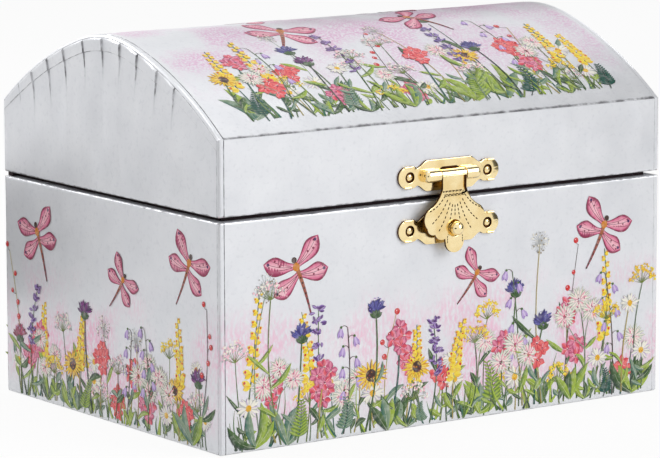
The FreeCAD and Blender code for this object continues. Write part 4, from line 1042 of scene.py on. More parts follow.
# %% Dragonflies
def dragonfly(ink, middle, size, heading):
    ink.new_plant()
    ahead = rect(1, radians(heading))
    for side in (-1, 1):
        for swing, length in ((62, 0.92), (104, 0.84)):
            angle = heading + side * swing
            root = middle + ahead * size * (0.14 if swing < 90 else 0.02)
            reach, width = length * size * 0.62, size * 0.24
            petal(ink, root, angle, reach, width * 1.18, [wine, rose, wine], 0.05 * side, 0.55, 12)
            petal(ink, root, angle, reach * 0.95, width * 0.92, [rose, blush, rose], 0.05 * side, 0.55, 12)
            out = rect(1, radians(angle))
            for share in (-0.5, 0, 0.5):
                tip = root + out * reach * 0.86 + out * 1j * share * width * 0.62
                stroke(ink, bent(root, tip, 0.05 * side * reach, 5), size * 0.009, wine, 0.8)
            for share in (0.5, 0.66, 0.82):
                spot = root + out * reach * share + out * 1j * width * 0.24 * chance(-1, 1)
                ink.dot(spot, size * 0.017, wine)
            ink.dot(root + out * reach * 0.86, size * 0.026, plum)
    tail = bent(middle + ahead * size * 0.2, middle - ahead * size * 0.62, size * 0.02, 10)
    stroke(ink, tail, size * 0.075, screen(176, 108, 60), 0.35, wine)
    for point in tail[3:]:
        ink.dot(point, size * 0.016, umber)
    ink.dot(middle + ahead * size * 0.13, size * 0.062, amber, 10)
    ink.dot(middle + ahead * size * 0.24, size * 0.046, umber, 9)


print("dragonflies ready")

# %% [markdown]
# Now the sheet is planted: tall plants first, then those of middle height, then leaves and grasses along
# the foot, so that the near ones cover the far ones. Plants at even steps would look like a border, so the
# steps vary. The height follows a gentle outline, lower in the middle of the end walls.

# %% Planting
tall_kinds = [puff_flower, golden_spike, bell_flower, violet_spike, umbel_flower, tuft_flower, berry_sprig,
              golden_spike]
middle_kinds = [ray_flower, starry_flower, cluster_flower, daisy, tuft_flower, umbel_flower, cluster_flower,
                starry_flower]
low_kinds = [grass, leaf_tuft, fern, grass, daisy, leaf_tuft, cluster_flower, umbel_flower]
wall_margin, wall_foot = 6, 1.0
dome_margin, dome_foot = 14, 6
# A dragonfly's place across, as a share of a wall or in mm on the dome, its mm up, its size and its heading.
on_wall_places = ((0.17, 49, 20, 110), (0.56, 42, 15, 50), (0.86, 51, 19, 62))
on_dome_places = ((52, 50, 22, 60), (104, 54, 20, 125))


def plant_meadow(ink, start, end, foot, height):
    """Plants from start to end across the sheet; height gives the tallest plant at a share of the way."""
    layers = ((tall_kinds, 8.0, 0.7, 1.0), (middle_kinds, 7.0, 0.36, 0.66), (low_kinds, 3.6, 0.14, 0.34))
    for kinds, gap, shortest, tallest in layers:
        order = []
        across = start + gap * luck.random()
        while across < end:
            order = order or luck.sample(kinds, len(kinds))
            tall = height((across - start) / (end - start)) * chance(shortest, tallest)
            ink.new_plant()
            order.pop()(ink, complex(across, foot + chance(-0.6, 0.6)), tall)
            across += gap * chance(0.7, 1.3)


def rolling(share):
    return 44 + 6 * sin(9 * share + 1)


def dipped(share):
    return 46 - 16 * sin(pi * share)


def waving(share):
    return 44 + 5 * sin(11 * share)


base_ink = Print()
for name, corner, along, out, length in walls():
    def on_wall(across, up, lift, corner=corner, along=along, out=out):
        point = corner + along * across + Vector((0, 0, up))
        return point + out * (paper_wave(point) + lift)

    base_ink.place = on_wall
    width = length / mm
    outline = rolling if name in ("front", "back") else dipped
    plant_meadow(base_ink, wall_margin, width - wall_margin, wall_foot, outline)
    for share, up, size, heading in on_wall_places:
        dragonfly(base_ink, complex(share * width, up), size, heading)
base_print = piece("base_print", base_ink.points, base_ink.faces, ink_finish, "base")
paint(base_print, "ink", base_ink.tints)

lid_ink = Print()
for side in (-1, 1):
    def on_dome(across, up, lift, side=side):
        distance = up if side < 0 else dome_length - up
        (y, z), (way_y, way_z) = dome_section(distance)
        point = Vector((-side * (across - half_width), y, z))
        return point + Vector((0, way_y, way_z)) * (paper_wave(point) + lift)

    lid_ink.place = on_dome
    plant_meadow(lid_ink, dome_margin, 2 * half_width / mm - dome_margin, dome_foot, waving)
    for across, up, size, heading in on_dome_places:
        dragonfly(lid_ink, complex(across, up), size, heading)
lid_print = piece("lid_print", lid_ink.points, lid_ink.faces, ink_finish, "lid")
paint(lid_print, "ink", lid_ink.tints)
print("print:", len(base_ink.faces), "shapes on the base,", len(lid_ink.faces), "on the lid")

# %% [markdown]
# The clasp is thin brass, pressed, plated and polished. A metal's colour is its reflection, so the finish
# is fully metallic with low roughness, faint rolling lines and small clouds of tarnish. Its cut edges, the
# hollows in its holes and its punched marks are a dark brass: painted shade, with a little tarnish.

# %% Plated brass
def polished(name, fair, deep, rough, line_depth):
    finish = Finish(name, Metallic=1.0)
    finish.colour(finish.band(finish.clouds(5 * mm, 4.0), 0.35, 0.75), fair, deep)
    lines = finish.clouds(0.5 * mm, 3.0, stretch=(0.12, 1, 1))
    finish.put("Normal", finish.bump(lines, line_depth))
    finish.rough(finish.clouds(2 * mm), 0.5 * rough, 1.5 * rough)
    return finish


gold_plate = polished("gold_plate", (248, 228, 178), (236, 208, 148), 0.14, 0.003 * mm)
# The dark brass is painted shade, with a little tarnish: on cut edges, in punched marks and in nail hollows.
shade_dark_brass = polished("shade_dark_brass", (92, 56, 30), (52, 30, 20), 0.5, 0.01 * mm)
print("plated brass finishes ready")

# %% [markdown]
# Both plates have one outline: a body with sloping shoulders and a round lobe at each end that holds a
# nail. The edge is a list of corners, as complex numbers again, x plus z times j. Cutting each corner off
# twice rounds it, as the press does. The plate is then built in levels: back edge, front edge, a small
# round-off, and the face, which is filled between its edge, its holes and its punched marks.

# %% Pressed plates
def corner_cut(edge, share=0.22):
    """The same closed edge with every corner cut off."""
    cut = []
    for here, following in zip(edge, edge[1:] + edge[:1]):
        cut += [here + (following - here) * share, here + (following - here) * (1 - share)]
    return cut


def moved_in(edge, amount):
    """A closed edge moved to its left by amount, corner by corner."""
    moved = []
    for before, here, after in zip(edge[-1:] + edge[:-1], edge, edge[1:] + edge[:1]):
        aside = (here - before) / abs(here - before) + (after - here) / abs(after - here)
        moved.append(here + aside * 1j / abs(aside) * amount)
    return moved


def circle(middle, radius, sides=20):
    """Clockwise, so that its left is outside it."""
    return [middle + rect(radius, -angle) for angle in full_turn(sides)]


def dash(middle, angle, length, width):
    """A punched mark, clockwise like a hole."""
    along, aside = rect(length / 2, angle), rect(width / 2, angle + pi / 2)
    blunt = along * 0.6
    right = [along, blunt - aside, -blunt - aside]
    return [middle + corner for corner in right + [-corner for corner in right]]


def pressed_plate(name, edge, holes, punches, back_y, front_y, body, replaces, finish=gold_plate):
    """Sheet metal from back_y to front_y with an edge, holes and punches, (outline, depth) pairs."""
    soften, turn_share, sharp = 0.16 * mm, 0.3, 28
    inward = copysign(1, back_y - front_y)
    work = bmesh.new()

    def level(outline, y):
        ring = [work.verts.new((point.real, y, point.imag)) for point in outline]
        return ring, [work.edges.new(pair) for pair in zip(ring[-1:] + ring[:-1], ring)]

    # A dark wall, like a punch's floor, takes the dark brass as painted shade.
    def wall(low, high, dark=False):
        for here in range(len(low)):
            side = work.faces.new((low[here - 1], low[here], high[here], high[here - 1]))
            side.material_index = int(dark)

    face_edges, back_edges = [], []
    for outline in [edge] + holes:
        back, more = level(outline, back_y)
        back_edges += more
        side, _ = level(outline, front_y + inward * soften)
        turn, _ = level(moved_in(outline, soften * turn_share), front_y + inward * soften * turn_share)
        face, more = level(moved_in(outline, soften), front_y)
        face_edges += more
        wall(back, side, True)
        wall(side, turn)
        wall(turn, face)
    for outline, depth in punches:
        rim, more = level(outline, front_y)
        face_edges += more
        floor, _ = level(outline, front_y + inward * depth)
        wall(rim, floor, True)
        work.faces.new(floor).material_index = 1
    for edges in (face_edges, back_edges):
        bmesh.ops.triangle_fill(work, edges=edges, use_beauty=True)
    bmesh.ops.recalc_face_normals(work, faces=work.faces)
    mesh = bpy.data.meshes.new(name)
    work.to_mesh(mesh)
    work.free()
    made = dressed(linked(name, mesh), finish, body, replaces, sharp)
    mesh.materials.append(shade_dark_brass.material)
    flat_faces = made.modifiers.new("flat_faces", "WEIGHTED_NORMAL")
    flat_faces.keep_sharp = True


print("plate helpers ready")

# %% [markdown]
# Nail heads, the barrel's stubs and the ball are round, as if turned on a lathe. A screw modifier spins a
# section too, but written-out rings let one piece hold several like parts with closed ends.

# %% Turned metal
def turned(name, profile, axis, place, body, replaces=(), finish=gold_plate, sides=24):
    """A lathe piece: (along, radius) pairs about an axis through each of the places."""
    along = Vector(axis).normalized()
    aside = along.orthogonal().normalized()
    other = along.cross(aside)
    points, faces = [], []
    for spot in place:
        first = len(points)
        for distance, radius in profile:
            for angle in full_turn(sides):
                spoke = aside * cos(angle) + other * sin(angle)
                points.append(Vector(spot) + along * distance + spoke * radius)
        faces += tube_faces(len(profile), sides, first)
    tidy(piece(name, points, faces, finish, body, replaces))


def dome(start, radius, high, steps=6):
    """Profile of a rounded end that rises by high from start."""
    turns = [radians(90) * step / steps for step in range(steps + 1)]
    return [(start + high * sin(turn), max(radius * cos(turn), 0.01 * mm)) for turn in turns]


print("lathe ready")

# %% [markdown]
# The lid plate carries the hasp's pin between two stubs, and has a window behind the hasp's roll whose walls
# and floor are painted dark as shade. The keeper plate on the base carries the ball. Each outline could be
# traced, but they are one, so one edge is built from the model's sizes and set at two heights.

# %% Clasp plates
plate_low, plate_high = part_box("clasp_plate")
keeper_low, keeper_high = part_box("keeper_plate")
clasp_half, clasp_z = plate_high.x, (plate_low.z + plate_high.z) / 2
stud_z = (keeper_low.z + keeper_high.z) / 2
body_half, lobe = 0.4615 * clasp_half, 0.176 * clasp_half
nail_x = clasp_half * 0.7747
nail_hole = 1.6 * mm
hasp_low, hasp_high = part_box("clasp_hasp")
pin_y, knuckle_radius = (hasp_low.y + hasp_high.y) / 2, (hasp_high.y - hasp_low.y) / 2
knuckle_half, knuckle_gap = 4.3 * mm, 0.3 * mm
stub_start = knuckle_half + knuckle_gap
window = [complex(x * stub_start, z * 2.3 * mm) for x, z in ((1, 1), (1, -1), (-1, -1), (-1, 1))]


def plate_edge(middle_z, high):
    """The plate's edge, anticlockwise from its right end: a round lobe, a notch and a sloping shoulder."""
    tip = clasp_half - lobe
    round_end = [tip + rect(lobe, radians(angle)) for angle in range(10, 91, 16)]
    notch = [complex(body_half + 1.25 * lobe, lobe), complex(body_half + 1.0 * lobe, 0.78 * lobe),
             complex(body_half + 0.7 * lobe, 0.86 * lobe)]
    upper = round_end + notch + [complex(body_half, high / 2), complex(body_half - 1.2 * mm, high / 2)]
    right = [corner.conjugate() for corner in reversed(upper)] + upper
    edge = right + [-corner for corner in right]
    return [corner + 1j * middle_z for corner in corner_cut(corner_cut(edge))]


def nail_holes(middle_z):
    return [circle(complex(way * nail_x, middle_z), nail_hole) for way in (-1, 1)]


high = plate_high.z - plate_low.z
knuckle_window = corner_cut([corner + 1j * clasp_z for corner in window])
pressed_plate("clasp_lid_plate", plate_edge(clasp_z, high), nail_holes(clasp_z),
              [(knuckle_window, 0.6 * mm)], keeper_high.y, keeper_low.y, "lid", ["clasp_plate"])
pressed_plate("clasp_keeper", plate_edge(stud_z, high), nail_holes(stud_z), [], keeper_high.y, keeper_low.y,
              "base", ["keeper_plate"])

stub_radius, axle_radius = keeper_high.y - pin_y, 0.8 * mm
stub = [(0, stub_radius * 0.9), (0.15 * mm, stub_radius), (3.9 * mm, stub_radius)]
stub += dome(4.1 * mm, stub_radius, 1.3 * mm)
for name, way in (("right", 1), ("left", -1)):
    spot = (way * stub_start, pin_y, clasp_z)
    turned("clasp_barrel_" + name, stub, (way, 0, 0), [spot], "lid")
axle = [(0, axle_radius), (2 * stub_start, axle_radius)]
turned("clasp_axle", axle, (1, 0, 0), [(-stub_start, pin_y, clasp_z)], "lid", ["clasp_pin"])

tab_x = clasp_half - lobe
bead = [(0, 0.1 * mm), (0.2 * mm, 0.36 * mm), (2.4 * mm, 0.36 * mm), (2.6 * mm, 0.1 * mm)]
for body, middle_z in (("lid", clasp_z), ("base", stud_z)):
    spots = [(x * tab_x - 1.3 * mm, keeper_low.y - 0.06 * mm, middle_z + z * (lobe - 0.25 * mm))
             for x in (-1, 1) for z in (-1, 1)]
    turned("lobe_tabs_" + body, bead, (1, 0, 0), spots, body, sides=10)
print("clasp plates", round(2 * clasp_half / mm, 1), "mm wide")

# %% [markdown]
# The hasp is the shell-shaped flap. Its upper edge is rolled round the pin, its lower edge has scallops and
# a finger tab, and rays of small dashes are punched into it. They are real dents here, whose walls and
# bottoms are painted dark as shade; a bump in the finish would not darken their bottoms.

# %% Shell hasp
hasp_length = clasp_z - hasp_low.z
shell_half, tab_half = 0.4693 * hasp_length, 0.1447 * hasp_length


def arc_to(edge, end, radius, centre_on_left):
    """Continues an edge to end along an arc of that radius."""
    start = edge[-1]
    half = (end - start) / 2
    lift = sqrt(max(radius ** 2 - abs(half) ** 2, 0)) * (1 if centre_on_left else -1)
    centre = start + half + half / abs(half) * 1j * lift
    sweep = phase((end - centre) / (start - centre))
    steps = max(3, round(abs(sweep) / radians(9)))
    for step in range(1, steps + 1):
        edge.append(centre + (start - centre) * rect(1, sweep * step / steps))


def shell_edge():
    """Anticlockwise: down the left side, round the tab, and up the right side as its mirror image."""
    right = [complex(knuckle_half, 0), complex(knuckle_half, -0.17 * hasp_length)]
    scallops = ((0.83, 0.41, 0.36, True), (0.92, 0.66, 0.155, False), (0.66, 0.745, 0.095, False))
    for across, drop, radius, hollow in scallops:
        arc_to(right, complex(across * shell_half, -drop * hasp_length), radius * hasp_length, hollow)
    arc_to(right, complex(1.05 * tab_half, -0.81 * hasp_length), 0.115 * hasp_length, False)
    right.append(complex(tab_half, tab_half - hasp_length))
    arc_to(right, complex(0, -hasp_length), tab_half, False)
    left = [complex(-corner.real, corner.imag) for corner in right]
    return [corner + 1j * clasp_z for corner in left + right[-2::-1]]


def shell_marks():
    """Two rows of small punched bows at the neck, dashed rays over the shell and dashes beside the tab."""
    marks = []
    for row in (0.205, 0.25):
        for number in range(6):
            middle = complex((number - 2.5) * 1.25 * mm, -row * hasp_length)
            for turn in (-0.9, 0, 0.9):
                spot = middle + rect(0.38 * mm, turn - pi / 2)
                marks.append(dash(spot, turn, 0.44 * mm, 0.24 * mm))
    for ray in range(-4, 5):
        start = complex(ray * 0.95 * mm, -(0.40 - 0.008 * ray * ray) * hasp_length)
        reach = (0.2, 0.33, 0.42, 0.40, 0.33)[abs(ray)] * hasp_length
        end = start + rect(reach, radians(-90 + 14 * ray))
        line = bent(start, end, -0.022 * ray * reach, max(4, round(reach / (1.3 * mm))))
        for here, following in zip(line, line[1:]):
            marks.append(dash(here, phase(following - here), 0.95 * mm, 0.34 * mm))
    for side in (-1, 1):
        for step in range(3):
            middle = complex(side * (tab_half - 0.6 * mm), -(0.79 + 0.033 * step) * hasp_length)
            marks.append(dash(middle, radians(90 + 8 * side), 0.7 * mm, 0.28 * mm))
    return [[corner + 1j * clasp_z for corner in mark] for mark in marks]


stud_hole = circle(complex(0, stud_z), 2.5 * mm, 28)
unpunched, dent, sheet_metal = 2.8 * mm, 0.18 * mm, 0.8 * mm
clear_of_stud = [(mark, dent) for mark in shell_marks()
                 if all(abs(point - 1j * stud_z) > unpunched for point in mark)]
pressed_plate("hasp_shell", shell_edge(), [stud_hole], clear_of_stud, hasp_low.y + sheet_metal, hasp_low.y,
              "hasp", ["clasp_hasp"])
print("hasp", round(hasp_length / mm, 1), "mm long with", len(clear_of_stud), "punched marks")

# %% [markdown]
# The roll goes most of the way round the pin, as sheet metal does. A closed tube would look the same from
# the front, but not with the hasp lifted. The ball is turned with its neck.

# %% Hasp roll and ball
roll_points = []
roll_turns = [radians(300) * step / 24 for step in range(25)]
for radius in (knuckle_radius, knuckle_radius - sheet_metal + 0.05 * mm):
    for turn in roll_turns:
        y, z = pin_y - radius * cos(turn), clasp_z + radius * sin(turn)
        roll_points += [Vector((x, y, z)) for x in (-knuckle_half, knuckle_half)]
half_count = 2 * len(roll_turns)
roll_faces = grid_faces(len(roll_turns), 2) + grid_faces(len(roll_turns), 2, first=half_count)
for step in range(len(roll_turns) - 1):
    for side in (0, 1):
        here = 2 * step + side
        roll_faces.append((here, here + 2, here + 2 + half_count, here + half_count))
roll_faces.append((half_count - 2, half_count - 1, 2 * half_count - 1, 2 * half_count - 2))
tidy(piece("hasp_roll", roll_points, roll_faces, gold_plate, "hasp"))

stud_low, stud_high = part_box("keeper_stud")
ball_radius = (stud_high.z - stud_low.z) / 2
ball_turns = [radians(40 + 140 * step / 14) for step in range(15)]
ball_out = stud_high.y - (stud_low.y + ball_radius)
stud = [(0, 1.5 * mm), (0.5 * mm, 1.2 * mm)]
stud += [(ball_out - ball_radius * cos(turn), ball_radius * sin(turn) + 0.005 * mm)
         for turn in ball_turns]
turned("keeper_ball", stud, (0, -1, 0), [(0, stud_high.y, stud_z)], "base", ["keeper_stud"])
print("ball", round(2 * ball_radius / mm, 1), "mm wide")

# %% [markdown]
# Round-headed nails hold the clasp plates and the two hinges. Their heads are small domes, each in a hollow
# where the plate's hole ends, painted dark as shade. The hinges stay as the model has them, with softened
# edges and the same plating.

# %% Nails and hinges
hinge_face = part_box("hinge_leaves_lid")[0].y + 0.8 * mm
nail_head = [(0.02 * mm, 1.0 * mm), (0.2 * mm, 1.05 * mm)] + dome(0.25 * mm, 1.05 * mm, 0.62 * mm)
hollow = [(0, nail_hole), (0.06 * mm, nail_hole - 0.02 * mm)]


def parts_of(node, count):
    """Lowest and highest corner of each like body in a node; the model stores their points in turn."""
    points = [vertex.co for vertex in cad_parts[node].data.vertices]
    run = len(points) // count
    groups = [points[start:start + run] for start in range(0, len(points), run)]
    return [[Vector(pick(axis) for axis in zip(*group)) for pick in (min, max)] for group in groups]


nail_count = 6
for node, body in (("base_nails", "base"), ("lid_nails", "lid")):
    middles = [(low + high) / 2 for low, high in parts_of(node, nail_count)]
    front = [(middle.x, -half_depth - 0.05 * mm, middle.z) for middle in middles if middle.y < 0]
    rear = [(middle.x, hinge_face, middle.z) for middle in middles if middle.y > 0]
    turned(node + "_front", nail_head, (0, -1, 0), front, body, [node])
    turned(node + "_back", nail_head, (0, 1, 0), rear, body)
    # The hollows are dark brass: painted shade under each nail head.
    turned(node + "_hollows", hollow, (0, -1, 0), front, body, finish=shade_dark_brass)


def dress_node(name, finish, soften=0.0):
    """Gives a piece of the model its finish, and a small round-off on its edges."""
    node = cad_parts[name]
    node.data.materials.clear()
    node.data.materials.append(finish.material)
    if soften:
        bevel = node.modifiers.new("soft_edges", "BEVEL")
        bevel.width = soften
        bevel.segments = 2
        bevel.limit_method = "ANGLE"
        bevel.angle_limit = radians(50)


for name in ("hinge_leaves_base", "hinge_leaves_lid"):
    dress_node(name, gold_plate, 0.12 * mm)
print("nails:", nail_count, "in the base and as many in the lid")

# %% [markdown]
# Inside, every board is covered with pink satin over a thin wadding. Satin is shiny because its threads
# float over many others, so the finish has a low roughness, a soft sheen and a fine diagonal weave. A
# picture of cloth would bring its own folds; waves and clouds fit any piece.

# %% Satin
def satin_finish(name, fair, deep):
    finish = Finish(name, Sheen_Weight=0.35, Sheen_Roughness=0.35, Specular_IOR_Level=0.5)
    finish.colour(finish.band(finish.clouds(14 * mm, 4.0), 0.3, 0.7), fair, deep)
    weave = finish.node("TexWave", {"Vector": finish.place, "Scale": 1 / (1.2 * mm), "Distortion": 0.6},
                        bands_direction="DIAGONAL").outputs["Fac"]
    folds = finish.bump(finish.clouds(9 * mm, 3.0), 0.35 * mm)
    finish.put("Normal", finish.bump(weave, 0.012 * mm, folds))
    finish.rough(finish.clouds(4 * mm), 0.28, 0.48)
    return finish


satin = satin_finish("pink_satin", (250, 208, 220), (242, 186, 203))
deep_satin = satin_finish("rose_satin", (240, 176, 196), (228, 152, 178))
# This near-black card is painted shade, for pieces that show only in the dark gap between base and lid.
gap_shade_card = Finish("gap_shade_card", Roughness=0.9)
gap_shade_card.colour(gap_shade_card.clouds(1.5 * mm, 5.0), (36, 23, 27), (50, 32, 37))
print("cloth finishes:", satin.material.name, deep_satin.material.name)

# %% [markdown]
# A covered board could be a bevelled box, but wadding bulges between the edges where the cloth is turned
# over. So the cover is a grid that rises in a quarter circle from its edge and then swells, with small
# puckers along the border. A board that shows one side gets a flat back of near-black card, which is
# painted shade for the dark gap under the lid, where it shows; so do the linings' outward corner faces.

# %% Padded covers
def border_marks(length, soft, step):
    """Positions across a cover: close together at its soft edges, even between."""
    near = [0, 0.1 * soft, 0.35 * soft, 0.7 * soft]
    count = max(2, round((length - 2 * soft) / step))
    middle = [soft + (length - 2 * soft) * number / count for number in range(count + 1)]
    return near + middle + [length - mark for mark in reversed(near)]


def cover(low, high, axis, facing, puff, points, faces, backed):
    """Adds a padded cover that fills a box and faces along an axis; a backed one has a flat back."""
    others = [other for other in range(3) if other != axis]
    spans = [high[other] - low[other] for other in others]
    thick = high[axis] - low[axis]
    soft = min(max(thick, 0.8 * mm), 3 * mm, min(spans) / 4)
    rows, columns = (border_marks(span, soft, 3 * mm) for span in spans)
    first = len(points)
    for along in rows:
        for across in columns:
            border = min(along, across, spans[0] - along, spans[1] - across)
            edge = min(1.0, border / soft)
            hump = sin(pi * along / spans[0]) * sin(pi * across / spans[1])
            bulge = hump ** 0.4 if border > 0 else 0
            spot = Vector((along, across, first * mm)) * 240
            pucker = noise.noise(spot) * 0.22 * mm * exp(-border / (4 * mm)) * edge
            height = thick * sqrt(1 - (1 - edge) ** 2) + puff * bulge + pucker
            point = low.copy()
            point[others[0]] += along
            point[others[1]] += across
            point[axis] = low[axis] + height if facing > 0 else high[axis] - height
            points.append(point)
    wide = len(columns)
    front = grid_faces(len(rows), wide, first=first)
    last = first + (len(rows) - 1) * wide
    rim = [*range(first, first + wide), *range(first + 2 * wide - 1, last + wide, wide)]
    rim += [*range(last + wide - 2, last - 1, -1), *range(last - wide, first, -wide)]
    back = [tuple(reversed(rim))] if backed else []
    grid_faces_along = 1 if axis == 1 else -1
    faces += [face if facing == grid_faces_along else face[::-1] for face in front + back]


print("cover helper ready; 30 mm has", len(border_marks(30 * mm, mm, 3 * mm)), "marks")

# %% [markdown]
# A node of the model may hold several like boards. Covers could be set by hand, but boxes that are read
# from the model stay in step with it. Which sides of a board show is a small rule for each kind.

# %% Boards and their sides
def covered(name, node, count, finish, body, sides, puff):
    """One piece that covers each board of a node; sides gives the axis and the ways that a board shows."""
    points, faces = [], []
    for low, high in parts_of(node, count):
        axis, ways = sides(low, high)
        middle = (low[axis] + high[axis]) / 2
        for way in ways:
            part_low, part_high = low.copy(), high.copy()
            if len(ways) == 2:
                (part_low if way > 0 else part_high)[axis] = middle
            cover(part_low, part_high, axis, way, puff, points, faces, len(ways) == 1)
    made = piece(name, points, faces, finish, body, [node], 60)
    tidy(made, turn=False)
    made.data.materials.append(gap_shade_card.material)
    for face in made.data.polygons:
        middle, way = face.center, face.normal
        in_corner = abs(middle.x) > half_width - 2 * board and abs(middle.y) > half_depth - 2 * board
        outward = way.xy.dot(middle.xy.normalized()) > -0.35 and abs(way.z) < 0.5
        # Lining backs and outward corner faces, seen in the gap under the lid, take the near-black card as
        # painted shade.
        in_gap_shade = sides is toward_middle and in_corner and outward
        face.material_index = int(len(face.vertices) > 4 or in_gap_shade)
    print(name, "has", len(faces), "faces")


def thin_axis(low, high):
    return min(range(3), key=lambda axis: high[axis] - low[axis])


def toward_middle(low, high):
    axis = thin_axis(low, high)
    return axis, [1 if low[axis] + high[axis] < 0 else -1]


def both_ways(low, high):
    return thin_axis(low, high), [1, -1]


def upward(*_):
    return 2, [1]


def downward(*_):
    return 2, [-1]


print("four rules for a board's sides")

# %% [markdown]
# Walls and lid are lined on the side that shows, dividers and the stage's sides are covered on both, and
# cushions lie on the floor. Each could be a cloth simulation, but cloth that is glued over card keeps the
# card's shape, so the padded cover is enough.

# %% Linings and dividers
covered("base_linings", "wall_linings", 6, satin, "base", toward_middle, 0.1 * mm)
covered("lid_edge_linings", "lid_linings", 4, satin, "lid", toward_middle, 0.1 * mm)
covered("lid_panel_cover", "lid_panel", 1, satin, "lid", downward, 0.5 * mm)
covered("well_dividers", "rear_dividers", 2, satin, "base", both_ways, 0.05 * mm)
covered("ring_bay_divider", "ring_divider", 1, satin, "base", both_ways, 0.05 * mm)
covered("stage_sides", "stage_walls", 3, deep_satin, "base", both_ways, 0.05 * mm)
covered("stage_top", "stage_deck", 1, deep_satin, "base", upward, 0.25 * mm)
covered("ring_bed_cover", "ring_bed", 1, deep_satin, "base", upward, 0.0)
covered("floor_cushions", "floor_pads", 3, deep_satin, "base", upward, 0.5 * mm)

# %% [markdown]
# A strip of card lies along the back rim, where the lid bears. It is near black, as painted shade: it shows
# only as the dark end of the gap between base and lid. A bar would do, but card that is cut by hand is never
# straight, so its top edge wavers a little.

# %% Rest strip
strip_end, strip_steps, strip_round = half_width - 1.2 * mm, 40, 0.2 * mm
strip_front, strip_back = half_depth - board + 0.1 * mm, half_depth - 0.6 * mm
strip_top = lid_rim - 0.3 * mm
strip_section = [(strip_front, base_rim), (strip_back, base_rim), (strip_back, strip_top - strip_round),
                 (strip_back - strip_round, strip_top), (strip_front + strip_round, strip_top),
                 (strip_front, strip_top - strip_round)]
strip_points = []
for step in range(strip_steps + 1):
    x = strip_end * (2 * step / strip_steps - 1)
    waver = noise.noise(Vector((x * 90, 4, 2))) * 0.12 * mm
    strip_points += [Vector((x, y, z + (waver if z > base_rim else 0))) for y, z in strip_section]
strip_faces = tube_faces(strip_steps + 1, len(strip_section))
tidy(piece("lid_rest_strip", strip_points, strip_faces, gap_shade_card, "base"))
print("rest strip stands", round((strip_top - base_rim) / mm, 2), "mm above the rim")

# %% [markdown]
# The ring rolls are stuffed. Blender's cloth can blow a closed shape up from inside, which gives the tight,
# slightly uneven skin that a modelled bulge lacks. Cloth settings are meant for things a metre or so wide,
# so the rolls are enlarged, filled for 20 frames without gravity, held to a small move, and brought back to
# their size.

# %% Stuffing
def stuffed(made, voxel, cap, pressure):
    """Remeshes a closed piece evenly and fills it like a cushion; no point moves further than cap."""
    enlarge, frames = 20, 20
    made.data.transform(Matrix.Scale(enlarge, 4))
    remesh = made.modifiers.new("even_skin", "REMESH")
    remesh.mode = "VOXEL"
    remesh.voxel_size = voxel * enlarge
    graph = bpy.context.evaluated_depsgraph_get()
    skin = bpy.data.meshes.new_from_object(made.evaluated_get(graph))
    made.modifiers.clear()
    made.data = skin
    start = [vertex.co.copy() for vertex in skin.vertices]
    cloth = made.modifiers.new("stuffing", "CLOTH")
    cloth.settings.use_pressure = True
    cloth.settings.uniform_pressure_force = pressure
    cloth.settings.effector_weights.gravity = 0
    for number in range(frames):
        bpy.context.scene.frame_set(number + 1)
    filled = made.evaluated_get(bpy.context.evaluated_depsgraph_get()).data
    end = [vertex.co.copy() for vertex in filled.vertices]
    for vertex, began, ended in zip(skin.vertices, start, end):
        move = ended - began
        vertex.co = began + move * min(1.0, cap * enlarge / max(move.length, 1e-9))
    made.modifiers.clear()
    bpy.context.scene.frame_set(1)
    skin.transform(Matrix.Scale(1 / enlarge, 4))
    smooth = made.modifiers.new("fine_skin", "SUBSURF")
    smooth.levels = smooth.render_levels = 1


def closed_roll(low, high, sides=20):
    """Points and faces of a roll along X with rounded ends, that rests flat and fills a box loosely."""
    slack = 0.7 * mm
    middle_y, half = (low.y + high.y) / 2, (high.y - low.y) / 2 - slack
    tall, length = high.z - slack - low.z, high.x - low.x - 2 * slack
    ends = [(share * half, sqrt(1 - (1 - share) ** 2)) for share in (0.02, 0.12, 0.35, 0.7, 1.0)]
    stations = ends + [(length * number / 8, 1.0) for number in range(2, 7)]
    stations += [(length - along, size) for along, size in reversed(ends)]
    points = []
    for along, size in stations:
        for angle in full_turn(sides):
            y = middle_y + half * size * cos(angle)
            z = low.z + tall * (0.44 + 0.56 * size * sin(angle))
            points.append(Vector((low.x + slack + along, y, max(z, low.z))))
    return points, tube_faces(len(stations), sides)


roll_count = 5
points, faces = joined(closed_roll(*box) for box in parts_of("ring_rolls", roll_count))
roll_mesh = bpy.data.meshes.new("ring_cushions")
roll_mesh.from_pydata(points, [], faces)
ring_cushions = linked("ring_cushions", roll_mesh)
tidy(ring_cushions)
stuffed(ring_cushions, 1.2 * mm, 0.6 * mm, 4.0)
dressed(ring_cushions, satin, "base", ["ring_rolls"], 180)
print("ring cushions:", roll_count, "rolls,", len(ring_cushions.data.polygons), "faces")

# %% [markdown]
# The mirror in the lid is a glass plate with a ground bevel, glued to the panel. Its silvering is modelled
# as metal: real glass over it would double every reflection, and the plate is seen only from the front.

# %% Mirror
mirror_finish = Finish("mirror_glass", Metallic=1.0)
mirror_finish.colour(mirror_finish.clouds(20 * mm), (226, 232, 234), (238, 242, 243))
mirror_finish.rough(mirror_finish.clouds(6 * mm, 5.0), 0.0, 0.05)


def bevelled_plate(low, high, bevel, depth):
    """A plate whose underside is smaller by a ground bevel."""
    levels = [(0, high.z), (0, low.z + depth), (bevel, low.z)]
    points = []
    for inset, z in levels:
        points += [Vector((x * (high.x - inset), y * (high.y - inset), z)) for x, y in four_corners]
    return points, tube_faces(len(levels), 4)


points, faces = bevelled_plate(*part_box("lid_mirror"), 3 * mm, 0.9 * mm)
tidy(piece("mirror_plate", points, faces, mirror_finish, "lid", ["lid_mirror"], 10))

